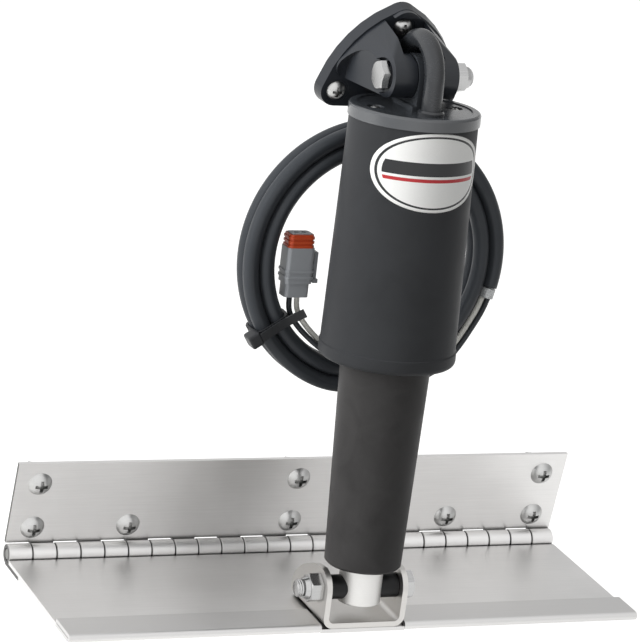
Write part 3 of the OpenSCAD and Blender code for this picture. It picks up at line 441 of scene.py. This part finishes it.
def moulded(name, colour, rough, grain_mm, mottle_mm, depth_mm, shine=0.25, spread=0.2):
    """A moulded plastic or rubber: the tool's fine grain breaks up the gloss, and a slow mottle of
    flow marks shifts tone and shine."""
    material, tree = start_finish(name)
    place = add(tree, "ShaderNodeTexCoord").outputs["Object"]
    grain = add(tree, "ShaderNodeTexNoise",
                {"Vector": place, "Scale": 1000.0 / grain_mm, "Detail": 2.0, "Roughness": 0.5})
    mottle = add(tree, "ShaderNodeTexNoise",
                 {"Vector": place, "Scale": 1000.0 / mottle_mm, "Detail": 4.0, "Roughness": 0.55,
                  "Distortion": 0.6})
    mix = add(tree, "ShaderNodeMix", {0: mottle.outputs[0], 6: shade(colour, 1 - spread),
                                      7: shade(colour, 1 + spread)}, data_type="RGBA")
    both = add(tree, "ShaderNodeMath", {0: grain.outputs[0], 1: 0.5, 2: mottle.outputs[0]},
               operation="MULTIPLY_ADD")
    gloss = add(tree, "ShaderNodeMapRange",
                {0: both.outputs[0], 1: 0.45, 2: 1.05, 3: rough * 0.8, 4: rough * 1.2})
    bump = add(tree, "ShaderNodeBump",
               {"Height": grain.outputs[0], "Strength": 0.6, "Distance": depth_mm * MM})
    shader = add(tree, "ShaderNodeBsdfPrincipled",
                 {"Base Color": mix.outputs[2], "Roughness": gloss.outputs[0], "Normal": bump.outputs[0],
                  "Specular IOR Level": shine})
    add(tree, "ShaderNodeOutputMaterial", {0: shader.outputs[0]})
    return material


def extruded(name, colour, rough, line_share, shine=0.25):
    """An extruded PVC jacket: faint lines drawn along it by the die, and slight waves of gloss from
    the haul-off, both following the cable by its UV map."""
    material, tree = start_finish(name)
    place = add(tree, "ShaderNodeUVMap", uv_map="UVMap").outputs[0]
    drawn = add(tree, "ShaderNodeMapping", {"Vector": place, "Scale": (line_share, 6.0, 1.0)}).outputs[0]
    lines = add(tree, "ShaderNodeTexNoise", {"Vector": drawn, "Scale": 1.0, "Detail": 3.0})
    hauled = add(tree, "ShaderNodeMapping", {"Vector": place, "Scale": (1.5, 90.0, 1.0)}).outputs[0]
    waves = add(tree, "ShaderNodeTexNoise", {"Vector": hauled, "Scale": 1.0, "Detail": 2.0})
    mix = add(tree, "ShaderNodeMix", {0: lines.outputs[0], 6: shade(colour, 0.7), 7: shade(colour, 1.3)},
              data_type="RGBA")
    gloss = add(tree, "ShaderNodeMapRange",
                {0: waves.outputs[0], 1: 0.3, 2: 0.7, 3: rough * 0.8, 4: rough * 1.2})
    bump = add(tree, "ShaderNodeBump", {"Height": lines.outputs[0], "Strength": 0.4, "Distance": 0.00003})
    shader = add(tree, "ShaderNodeBsdfPrincipled",
                 {"Base Color": mix.outputs[2], "Roughness": gloss.outputs[0], "Normal": bump.outputs[0],
                  "Specular IOR Level": shine})
    add(tree, "ShaderNodeOutputMaterial", {0: shader.outputs[0]})
    return material


def printed_oval(name, ground, ink, stripe):
    """A screen-printed polyester label: pale ground, a thin dark line inside its edge, one plain dark
    bar and a thin stripe under it, under a satin film that a little ink shows through."""
    material, tree = start_finish(name)
    place = add(tree, "ShaderNodeUVMap", uv_map="UVMap").outputs[0]
    axes = add(tree, "ShaderNodeSeparateXYZ", {0: place})
    offset = add(tree, "ShaderNodeVectorMath", {0: place, 1: (0.5, 0.5, 0.0)}, operation="SUBTRACT")
    radius = add(tree, "ShaderNodeVectorMath", {0: offset.outputs[0]}, operation="LENGTH").outputs["Value"]
    speck = add(tree, "ShaderNodeTexNoise", {"Vector": place, "Scale": 60.0, "Detail": 3.0})
    paper = add(tree, "ShaderNodeMix", {0: speck.outputs[0], 6: shade(ground, 0.94), 7: ground},
                data_type="RGBA")

    def band(value, middle, half):
        return add(tree, "ShaderNodeMath", {0: value, 1: middle, 2: half}, operation="COMPARE").outputs[0]

    inside = add(tree, "ShaderNodeMath", {0: radius, 1: 0.405}, operation="LESS_THAN").outputs[0]
    bar = add(tree, "ShaderNodeMath", {0: band(axes.outputs[1], 0.54, 0.085), 1: inside},
              operation="MULTIPLY")
    line = add(tree, "ShaderNodeMath", {0: band(radius, 0.452, 0.012), 1: bar.outputs[0]},
               operation="MAXIMUM")
    red = add(tree, "ShaderNodeMath", {0: band(axes.outputs[1], 0.40, 0.022), 1: inside},
              operation="MULTIPLY")
    inked = add(tree, "ShaderNodeMix", {0: line.outputs[0], 6: paper.outputs[2], 7: ink}, data_type="RGBA")
    both = add(tree, "ShaderNodeMix", {0: red.outputs[0], 6: inked.outputs[2], 7: stripe}, data_type="RGBA")
    gloss = add(tree, "ShaderNodeMapRange", {0: speck.outputs[0], 3: 0.3, 4: 0.42})
    shader = add(tree, "ShaderNodeBsdfPrincipled",
                 {"Base Color": both.outputs[2], "Roughness": gloss.outputs[0]})
    add(tree, "ShaderNodeOutputMaterial", {0: shader.outputs[0]})
    return material


def braided_band(name, colour):
    """A tinned copper braid: crossing diagonal strands in their own colour, with painted shade
    darkening the gaps between them.
    """
    material, tree = start_finish(name)
    place = add(tree, "ShaderNodeTexCoord").outputs["Object"]
    diagonal = add(tree, "ShaderNodeMapping", {"Vector": place, "Rotation": (0.6, 0.5, 0.78)}).outputs[0]
    weave = add(tree, "ShaderNodeTexChecker", {"Vector": diagonal, "Scale": 1000.0 / 0.9})
    speck = add(tree, "ShaderNodeTexNoise", {"Vector": place, "Scale": 1000.0 / 0.5, "Detail": 2.0})
    height = add(tree, "ShaderNodeMath", {0: weave.outputs[1], 1: 0.5, 2: speck.outputs[0]},
                 operation="MULTIPLY_ADD")
    # Painted shade: the weave's gaps take a darker copy of the colour
    mix = add(tree, "ShaderNodeMix", {0: height.outputs[0], 6: shade(colour, 0.45), 7: colour},
              data_type="RGBA")
    bump = add(tree, "ShaderNodeBump", {"Height": height.outputs[0], "Strength": 0.8, "Distance": 0.0002})
    shader = add(tree, "ShaderNodeBsdfPrincipled",
                 {"Base Color": mix.outputs[2], "Metallic": 0.4, "Roughness": 0.42,
                  "Normal": bump.outputs[0]})
    add(tree, "ShaderNodeOutputMaterial", {0: shader.outputs[0]})
    return material


FINISHES = {}


class TRIMTAB_OT_finishes(bpy.types.Operator):
    """Make the finishes, one for each material slot of the record, and give them to the solids"""
    bl_idname = "trim_tab.finishes"
    bl_label = "Finishes"

    def execute(self, context):
        c = context.scene.trim_tab_colours
        FINISHES.update({
            "satin_stainless": rolled_steel("stainless_sheet_rolled_satin", c.sheet, 0.4, 0.9, 0, 0.05, 3.0),
            "bright_stainless": rolled_steel("stainless_polished", c.bright, 0.22, 0.5, 0, 0.1, 1.5),
            "black_shell": moulded("nylon_moulded_black", c.shell, 0.5, 0.45, 22, 0.03, 0.12, 0.28),
            "cap_shell": moulded("nylon_moulded_cap", c.cap, 0.22, 0.5, 18, 0.02, 1.0),
            "bracket_nylon": moulded("nylon_glass_filled_moulded", linear("25282D"), 0.34, 0.6, 14, 0.03,
                                     0.42),
            "black_rubber": moulded("rubber_moulded_black", linear("2C2E31"), 0.26, 0.8, 12, 0.01, 0.5),
            "cable_jacket": extruded("pvc_jacket_extruded_black", c.jacket, 0.42, 16.0, 0.25),
            "white_wire": extruded("pvc_insulation_extruded_white", linear("E2E1DA"), 0.32, 8.0, 0.5),
            "grey_connector": moulded("pbt_moulded_grey", c.connector, 0.4, 0.4, 9, 0.02, 0.4, 0.08),
            "orange_seal": moulded("silicone_moulded_orange", c.seal, 0.38, 0.5, 7, 0.02, 0.35, 0.1),
            "end_band": braided_band("copper_tinned_braided", linear("C9CBCC")),
            "drive_bronze": rolled_steel("bronze_turned", linear("B28A4A"), 0.3, 0.3, 2, 0.18),
            "bush_plastic": moulded("acetal_machined_natural", linear("C9C5B6"), 0.4, 0.3, 10, 0.01, 0.4,
                                    0.06),
            "black_bush": moulded("acetal_machined_black", linear("1C1C1D"), 0.4, 0.3, 10, 0.01),
            "motor_metal": rolled_steel("steel_can_zinc_plated", linear("8F9193"), 0.38, 0.6, 2, 0.18),
            "tie_nylon": moulded("nylon_tie_moulded_black", linear("2C2D2F"), 0.4, 0.4, 8, 0.02),
        })
        for node, piece in frame["nodes"].items():
            piece.data.materials.clear()
            piece.data.materials.append(FINISHES[SLOT[node]])
        tail = np.array([0, np.cos(np.radians(TAB_RISE)), -np.sin(np.radians(TAB_RISE))])
        hem = (tuple(tail), float(HINGE @ tail) - HEM_START * MM)
        own = {
            "ram_tube": rolled_steel("stainless_ground_satin", linear("E0DFDD"), 0.55, 0.5, 0),
            "tab_plate": rolled_steel("stainless_sheet_hemmed_satin", c.sheet, 0.4, 0.9, 0, 0.05, 3.0, hem),
            # The knuckles' ends get painted shade in the gaps between them
            "flange_leaf": rolled_steel("stainless_sheet_rolled_knuckles", c.sheet, 0.4, 0.9, 0, 0.05, 3.0,
                                        ends=True),
            "hinge_pin": rolled_steel("stainless_rod_drawn", linear("8E8E8C"), 0.45, 0.5, 0, 0.1, 6.0),
            "flange_screws": rolled_steel("stainless_screw_painted_recess_shade", linear("C6C6C5"), 0.36, 0.5, 0, 0.1,
                                          1.6),
        }
        own["bracket_screws"] = own["cap_screws"] = own["flange_screws"]
        own["tab_hinge_leaf"] = own["flange_leaf"]
        for node, finish in own.items():
            frame["nodes"][node].data.materials[0] = finish
        return {"FINISHED"}


class TRIMTAB_OT_channel(bpy.types.Operator):
    """Bend the ram bracket from one sheet: a U-section whose ears round over the pivot to the heel"""
    bl_idname = "trim_tab.channel"
    bl_label = "Ram bracket"

    def execute(self, context):
        # Rows run down one ear, round the bend and over the foot to the middle, then mirror. In each
        # row the sheet's outer face runs from front to back edge, and its inner face returns.
        top = EAR_UP + EAR_R - 0.01
        bend_z = CHANNEL_LOW + CHANNEL_BEND
        ear_z = bend_z + (top - bend_z) * np.sin(np.linspace(np.pi / 2, 0, EAR_ROWS))
        turn = np.radians(np.linspace(180, 270, BEND_ROWS + 1))[1:]
        middle = np.array([CHANNEL_BEND - CHANNEL_HALF, bend_z])
        quarter = np.stack([np.cos(turn), np.sin(turn)], -1)
        halves = []
        for inset in (0.0, CHANNEL_SHEET):
            ear = np.stack([np.full(EAR_ROWS, inset - CHANNEL_HALF), ear_z], -1)
            halves.append(np.vstack([ear, middle + (CHANNEL_BEND - inset) * quarter]))
        outer, inner = (np.vstack([half, half[::-1] * [-1, 1]]) for half in halves)
        height = np.clip(outer[:, 1], bend_z, top)
        reach = np.sqrt(np.clip(EAR_R ** 2 - np.clip(height - EAR_UP, 0, None) ** 2, 0, None))
        front = EAR_BACK - reach
        edge = smooth_curve(EAR_EDGE, 12)[::-1]
        back = np.interp(height, edge[:, 1], edge[:, 0])
        share = np.linspace(0, 1, SHEET_COLUMNS)
        y = front[:, None] + (back - front)[:, None] * share
        rings = np.concatenate([
            np.stack(np.broadcast_arrays(outer[:, :1], y, outer[:, 1:]), -1),
            np.stack(np.broadcast_arrays(inner[:, :1], y[:, ::-1], inner[:, 1:]), -1)], 1)
        points, faces = closed_sweep(in_tab(rings))
        finish = rolled_steel("stainless_sheet_bent_satin", linear("D2D0CD"), 0.36, 0.7, 0, 0.06, 3.0)
        channel = make_piece("ram_channel", points, outward(points, faces), finish, SLOT["ram_bracket"])
        channel.data.set_sharp_from_angle(angle=SHARP)
        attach(channel, "tab")
        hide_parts("ram_bracket")
        return {"FINISHED"}


def arc(middle, radius, begin, end, steps=7):
    """Points of a circle's arc between two angles in degrees."""
    turn = np.radians(np.linspace(begin, end, steps))
    return (np.asarray(middle) + radius * np.stack([np.cos(turn), np.sin(turn)], -1)).tolist()


def turned(profile, sides=144):
    """A closed outline of radius and height turned about the actuator's axis."""
    r, z = np.asarray(profile).T[..., None]
    turn = (np.arange(sides) * 2 * np.pi / sides)[None]
    rings = in_actuator(np.stack(np.broadcast_arrays(r * np.sin(turn), -r * np.cos(turn), z), -1))
    points = rings.reshape(-1, 3)
    faces = grid_faces(len(profile) + 1, sides, True) % len(points)
    return points, outward(points, faces.tolist())


class TRIMTAB_OT_housings(bpy.types.Operator):
    """Turn the tapered tube and the body with its rounded lower edge round the solids' bores"""
    bl_idname = "trim_tab.housings"
    bl_label = "Housings"

    def execute(self, context):
        # Outlines of radius and height in millimetres, outside first and back along the bore
        tube = [[13.9, 12], [17.8, 12], [19, 13.2], [22.1, 115], *arc([24.1, 115], 2, 180, 90)[1:],
                [24.6, 117], [24.6, 118.5], [15.1, 118.5], [15.1, 110], [11.1, 110], [11.1, 36], [13.9, 36]]
        body = [[24.7, 117], *arc([30.5, 120], 3, -90, 0), [33.5, 124], [BODY_LOW_R, BODY_LOW],
                [BODY_TOP_R, BODY_TOP], [27.8, BODY_TOP], [29.9, 129], [30.3, 128], [30.3, 118.8],
                [24.7, 118.8]]
        worn = moulded("nylon_moulded_weathered", linear("3A3939"), 0.52, 0.6, 16, 0.04, 0.12, 0.4)
        for name, profile, finish, node in (("lower_tube", tube, worn, "lower_housing"),
                                            ("motor_body", body, FINISHES["black_shell"], "upper_housing")):
            shell = make_piece(name, *turned(profile), finish, "black_shell")
            shell.data.set_sharp_from_angle(angle=SHARP)
            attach(shell, "housing")
            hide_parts(node)
        return {"FINISHED"}


class TRIMTAB_OT_cables(bpy.types.Operator):
    """Wind the cable and lay the two wires"""
    bl_idname = "trim_tab.cables"
    bl_label = "Cable and wires"

    def execute(self, context):
        sizes = context.scene.trim_tab_sizes
        path = cable_path()
        cable = make_tube("cable", path, BEHIND, sizes.cable_d, 16, FINISHES["cable_jacket"], "cable_jacket")
        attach(cable, "bracket")
        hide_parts("cable_lead", "cable_coil")
        wires = (("white_wire", WHITE_ROUTE, "white_wire", "wire_white"),
                 ("black_wire", BLACK_ROUTE, "cable_jacket", "wire_black"))
        for name, route, slot, node in wires:
            line = smooth_curve(in_coil(route), 5)
            wire = make_tube(name, line, BEHIND, sizes.wire_d, 12, FINISHES[slot], slot)
            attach(wire, "bracket")
            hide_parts(node)
        return {"FINISHED"}


def tie_frame(points):
    """Millimetres at the tie (outwards from the bundle's middle, back, along the cable) to metres."""
    points = np.asarray(points, float)
    angle = np.radians(TIE_AT)
    radius = BUNDLE_R + points[..., 0]
    side = radius * np.cos(angle) - points[..., 2] * np.sin(angle)
    up = radius * np.sin(angle) + points[..., 2] * np.cos(angle)
    return in_coil(np.stack([side, points[..., 1], up], -1))


def rounded_box(middle, half, power=0.28, rows=24, columns=40):
    """A box with soft edges: a sphere whose sines and cosines are raised to a small power."""
    up = np.linspace(-np.pi / 2, np.pi / 2, rows)[:, None]
    turn = (np.arange(columns) * 2 * np.pi / columns)[None]

    def bent(x):
        return np.sign(x) * np.abs(x) ** power

    ring = bent(np.cos(up))
    shape = np.broadcast_arrays(ring * bent(np.cos(turn)), ring * bent(np.sin(turn)), bent(np.sin(up)))
    return np.asarray(middle) + np.stack(shape, -1) * np.asarray(half)


def strap(line, width, thick, rib, pitch):
    """A flat strap along a closed or open line in the tie's plane: a four-point section whose outer
    side rises and falls by the height of a rib at each pitch of run."""
    run = run_of(line)
    ahead = unit(np.gradient(line, axis=0))
    out = np.stack([-ahead[:, 1], ahead[:, 0], ahead[:, 2]], -1)
    ribs = rib * (0.5 + 0.5 * np.sign(np.sin(run * 2 * np.pi / pitch)))
    wide = np.array([0, 0, width / 2])
    inner = line - out * thick / 2
    outer = line + out * (thick / 2 + ribs)[:, None]
    return np.stack([inner - wide, inner + wide, outer + wide, outer - wide], 1)


class TRIMTAB_OT_tie(bpy.types.Operator):
    """Fasten the coil with its ribbed cable tie"""
    bl_idname = "trim_tab.tie"
    bl_label = "Cable tie"

    def execute(self, context):
        turn = np.linspace(0, 2 * np.pi, 241)
        across, along = (TIE_HALF * np.sign(wave) * np.abs(wave) ** TIE_SQUARE
                         for wave in (np.cos(turn), np.sin(turn)))
        loop = np.stack([across, along, np.zeros_like(turn)], -1)
        tail = smooth_curve([[8.5, -11.2, 0], [4, -11.0, 0], [-2, -10.8, 0], [-8, -11.2, 0],
                             [-13.5, -12.6, 0], [-16, -13.6, 0]], 40)
        head = rounded_box([11.4, -7.2, 0], [3.3, 4.4, 3.6])
        shapes = (strap(loop[::-1], 4.6, 1.1, TIE_RIB, TIE_PITCH),
                  strap(tail[::-1], 4.4, 1.0, TIE_RIB, TIE_PITCH), head)
        points, faces = joined([closed_sweep(tie_frame(shape)) for shape in shapes])
        tie = make_piece("cable_tie_dressed", points, faces, FINISHES["tie_nylon"], "tie_nylon",
                         smooth=False)
        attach(tie, "bracket")
        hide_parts("cable_tie")
        return {"FINISHED"}


class TRIMTAB_OT_loop(bpy.types.Operator):
    """Bend the rubber loop over the upper pivot, from the cap into the bracket"""
    bl_idname = "trim_tab.loop"
    bl_label = "Rubber loop"

    def execute(self, context):
        path = loop_path()
        loop = make_tube("rubber_loop", path, SIDEWAYS, context.scene.trim_tab_sizes.loop_d, 28,
                         FINISHES["black_rubber"], "black_rubber")
        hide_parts("cable_loop")
        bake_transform(loop)
        return {"FINISHED"}


class TRIMTAB_OT_label(bpy.types.Operator):
    """Lay the plain oval label on the front of the upper housing"""
    bl_idname = "trim_tab.label"
    bl_label = "Oval label"

    def execute(self, context):
        sizes = context.scene.trim_tab_sizes
        half_w, half_h = sizes.label_w / MM / 2, sizes.label_h / MM / 2
        # Rings of an oval from its middle to its edge, laid round the taper and lifted off it, then
        # turned under the edge
        share = np.concatenate([np.linspace(0.02, 1, 26), [1.0, 0.02]])[:, None]
        lift = np.concatenate([np.full(26, 0.16), [0.0, -0.3]])[:, None]
        turn = (np.arange(96) * 2 * np.pi / 96)[None]
        height = LABEL_MIDDLE + half_h * share * np.sin(turn)
        taper = (height - BODY_LOW) / (BODY_TOP - BODY_LOW)
        radius = BODY_LOW_R + taper * (BODY_TOP_R - BODY_LOW_R) + lift
        angle = half_w * share * np.cos(turn) / BODY_LOW_R
        rings = in_actuator(np.stack([radius * np.sin(angle), -radius * np.cos(angle), height], -1))
        points, faces = closed_sweep(rings)
        flat = np.broadcast_arrays(share * np.cos(turn), share * np.sin(turn))
        uv = 0.5 + 0.5 * np.stack(flat, -1)
        uv = np.vstack([uv.reshape(-1, 2), [0.5, 0.5], [0.5, 0.5]])
        c = context.scene.trim_tab_colours
        finish = printed_oval("polyester_label_printed", c.label, linear("1A1B1D"), c.stripe)
        label = make_piece("oval_label", points, outward(points, faces), finish, "black_shell", uv)
        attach(label, "housing")
        return {"FINISHED"}


def thread(start, along, radius, length, pitch, depth, point=0.0, columns=28, steps=10):
    """A screw thread along a line: the radius rises and falls with the distance along less the turn's
    share of the pitch. It shrinks to a point over the last stretch where one is given, and is
    chamfered there otherwise."""
    rows = int(length / pitch * steps) + 2
    s = np.linspace(0, length, rows)[:, None]
    turn = (np.arange(columns) * 2 * np.pi / columns)[None]
    wave = np.abs(((s / pitch - turn / (2 * np.pi)) % 1.0) * 2 - 1)
    r = radius + depth * step(1.4 * wave - 0.2) * np.clip(s / pitch, 0, 1)
    left = length - s
    if point:
        r = r * np.clip(left / point, 0.12, 1)
    else:
        r = np.where(left < depth, radius - (depth - left) * 0.8, r)
    along = unit(np.asarray(along, float))
    u = unit(np.cross(along, [0.3, 0.2, 0.93]))
    v = np.cross(along, u)
    rings = np.asarray(start) + (s[..., None] * along + r[..., None] * (np.cos(turn)[..., None] * u
                                 + np.sin(turn)[..., None] * v)) * MM
    return closed_sweep(rings)


class TRIMTAB_OT_threads(bpy.types.Operator):
    """Cut the threads on the pivot bolts' ends and on the transom screws"""
    bl_idname = "trim_tab.threads"
    bl_label = "Threads"

    def execute(self, context):
        sizes = context.scene.trim_tab_sizes
        bolt, screw = sizes.bolt_pitch / MM, sizes.screw_pitch / MM
        finish = FINISHES["bright_stainless"]
        low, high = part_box("lower_bolt"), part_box("upper_bolt")
        nut, top_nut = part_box("lower_nut"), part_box("upper_nut")
        ends = (("lower_bolt_thread", "tab", LOW_PIVOT, -1, nut[0][0], low[0][0]),
                ("upper_bolt_thread", "bracket", TOP_PIVOT, 1, top_nut[1][0], high[1][0]))
        for name, body, middle, way, begin, tip in ends:
            start = np.array([begin + way * 0.0001, middle[1], middle[2]])
            length = abs(tip - begin) / MM + 0.2
            points, faces = joined([thread(start, [way, 0, 0], BOLT_CORE, length, bolt, BOLT_CREST)])
            piece = make_piece(name, points, faces, finish, "bright_stainless")
            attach(piece, body)
        height = TOP_PIVOT[2] / MM
        flange = ([(x, 0, z) for x in (-FLANGE_OUTER, FLANGE_OUTER, 0) for z in (-FLANGE_ROW, FLANGE_ROW)]
                  + [(x, 0, -FLANGE_ROW) for x in (-FLANGE_INNER, FLANGE_INNER)])
        bracket = [(0, 0, height + BRACKET_UPPER), (-BRACKET_SIDE, 0, height + BRACKET_LOWER),
                   (BRACKET_SIDE, 0, height + BRACKET_LOWER)]
        sets = (("flange_screw_threads", "flange", flange, FLANGE_THREAD, screw),
                ("bracket_screw_threads", "bracket", bracket, BRACKET_THREAD, screw * 0.8))
        for name, body, places, (core, length, crest, point), pitch in sets:
            points, faces = joined([thread(np.array(place) * MM, [0, 1, 0], core, length, pitch, crest, point)
                                    for place in places])
            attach(make_piece(name, points, faces, finish, "bright_stainless"), body)
        return {"FINISHED"}


class TRIMTAB_OT_stage(bpy.types.Operator):
    """Set the camera at the photograph's angle, the pale floor and the soft lights"""
    bl_idname = "trim_tab.stage"
    bl_label = "Stage"

    def execute(self, context):
        scene = context.scene
        facing = Matrix((CAMERA_RIGHT, [-x for x in CAMERA_DOWN], [-x for x in CAMERA_AHEAD])).transposed()
        lens = bpy.data.cameras.new("camera")
        lens.sensor_width, lens.lens = 36.0, 36.0 * FOCAL_PX / PHOTO_PX
        lens.clip_end = 100.0
        camera = bpy.data.objects.new("camera", lens)
        camera.matrix_world = Matrix.Translation(CAMERA_PLACE) @ facing.to_4x4()
        scene.collection.objects.link(camera)
        scene.camera = camera
        scene.view_settings.view_transform = "Standard"

        world = bpy.data.worlds.new("studio")
        world.use_nodes = True
        tree = world.node_tree
        tree.nodes.clear()
        rays = add(tree, "ShaderNodeLightPath").outputs
        way = add(tree, "ShaderNodeTexCoord").outputs["Generated"]
        left = add(tree, "ShaderNodeVectorMath", {0: way, 1: (-0.85, -0.3, 0.43)}, operation="DOT_PRODUCT")
        mirror = add(tree, "ShaderNodeMapRange", {0: left.outputs["Value"], 1: -0.7, 2: 0.5, 3: 0.5, 4: 1.35})
        soft = add(tree, "ShaderNodeMix", {0: rays["Is Glossy Ray"], 2: 0.18, 3: mirror.outputs[0]})
        seen = add(tree, "ShaderNodeMath", {0: rays["Is Camera Ray"], 1: rays["Is Transmission Ray"]},
                   operation="MAXIMUM")
        level = add(tree, "ShaderNodeMix", {0: seen.outputs[0], 2: soft.outputs[0], 3: 1.0})
        sky = add(tree, "ShaderNodeBackground", {0: (1, 1, 1, 1), 1: level.outputs[0]})
        add(tree, "ShaderNodeOutputWorld", {0: sky.outputs[0]})
        scene.world = world

        floor_mesh = bpy.data.meshes.new("floor")
        # The tab hangs from a transom, so the floor lies below its trailing edge at the end of the swing
        swing = np.radians(JOINT["tab_hinge"]["range_deg"][1] - TAB_RISE)
        level_z = HINGE[2] - (TAB_REACH * np.sin(swing) + FLOOR_GAP) * MM
        corners = [(x * FLOOR_HALF, y * FLOOR_HALF, level_z) for x, y in ((-1, -1), (1, -1), (1, 1), (-1, 1))]
        floor_mesh.from_pydata(corners, [], [(0, 1, 2, 3)])
        floor = bpy.data.objects.new("floor", floor_mesh)
        scene.collection.objects.link(floor)
        paper, tree = start_finish("paper_seamless_white")
        rays = add(tree, "ShaderNodeLightPath").outputs
        seen = add(tree, "ShaderNodeMath", {0: rays["Is Camera Ray"], 1: rays["Is Glossy Ray"]},
                   operation="MAXIMUM")
        seen = add(tree, "ShaderNodeMath", {0: seen.outputs[0], 1: rays["Is Transmission Ray"]},
                   operation="MAXIMUM")
        # Painted contact shadow: the floor's glow dims where ambient occlusion finds the object close by
        free = add(tree, "ShaderNodeAmbientOcclusion", {"Distance": 0.018}, samples=16).outputs["AO"]
        painted_shadow_glow = add(tree, "ShaderNodeMapRange", {0: free, 1: 0.3, 2: 0.9, 3: 0.1, 4: 0.82})
        own = add(tree, "ShaderNodeMath", {0: seen.outputs[0], 1: painted_shadow_glow.outputs[0]}, operation="MULTIPLY")
        glow = add(tree, "ShaderNodeEmission", {0: (1, 1, 1, 1), 1: own.outputs[0]})
        matt = add(tree, "ShaderNodeBsdfDiffuse", {0: linear("BCBCBA")})
        both = add(tree, "ShaderNodeAddShader", {0: matt.outputs[0], 1: glow.outputs[0]})
        add(tree, "ShaderNodeOutputMaterial", {0: both.outputs[0]})
        floor_mesh.materials.append(paper)

        # Steel mirrors the even studio round it and not the lamps, so no side of it burns out
        for name, place, size, power in LAMPS:
            light = bpy.data.lights.new(name, "AREA")
            light.size, light.energy = size, power
            lamp = bpy.data.objects.new(name, light)
            lamp.visible_glossy = False
            way = Vector(place) - Vector(LAMP_AIM)
            lamp.matrix_world = Matrix.Translation(place) @ way.to_track_quat("Z", "Y").to_matrix().to_4x4()
            scene.collection.objects.link(lamp)
        return {"FINISHED"}


class TRIMTAB_PT_panel(bpy.types.Panel):
    """Sizes, colours and the steps that dress the trim tab"""
    bl_idname = "TRIMTAB_PT_panel"
    bl_label = "Trim tab"
    bl_space_type = "VIEW_3D"
    bl_region_type = "UI"
    bl_category = "Trim tab"

    def draw(self, context):
        for group in (context.scene.trim_tab_sizes, context.scene.trim_tab_colours):
            for name in group.__annotations__:
                self.layout.prop(group, name)
        for operator in STEPS:
            self.layout.operator(operator.bl_idname)


STEPS = (TRIMTAB_OT_stage, TRIMTAB_OT_finishes, TRIMTAB_OT_tie, TRIMTAB_OT_cables, TRIMTAB_OT_housings,
         TRIMTAB_OT_channel, TRIMTAB_OT_loop, TRIMTAB_OT_label, TRIMTAB_OT_threads)
CLASSES = (TrimTabSizes, TrimTabColours, *STEPS, TRIMTAB_PT_panel)


def register():
    for kind in CLASSES:
        bpy.utils.register_class(kind)
    bpy.types.Scene.trim_tab_sizes = PointerProperty(type=TrimTabSizes)
    bpy.types.Scene.trim_tab_colours = PointerProperty(type=TrimTabColours)


def unregister():
    del bpy.types.Scene.trim_tab_colours
    del bpy.types.Scene.trim_tab_sizes
    for kind in reversed(CLASSES):
        bpy.utils.unregister_class(kind)


def main():
    register()
    bpy.ops.trim_tab.stage()
    bpy.ops.trim_tab.finishes()
    bpy.ops.trim_tab.tie()
    bpy.ops.trim_tab.cables()
    bpy.ops.trim_tab.housings()
    bpy.ops.trim_tab.channel()
    bpy.ops.trim_tab.loop()
    bpy.ops.trim_tab.label()
    bpy.ops.trim_tab.threads()


if __name__ == "__main__":
    main()
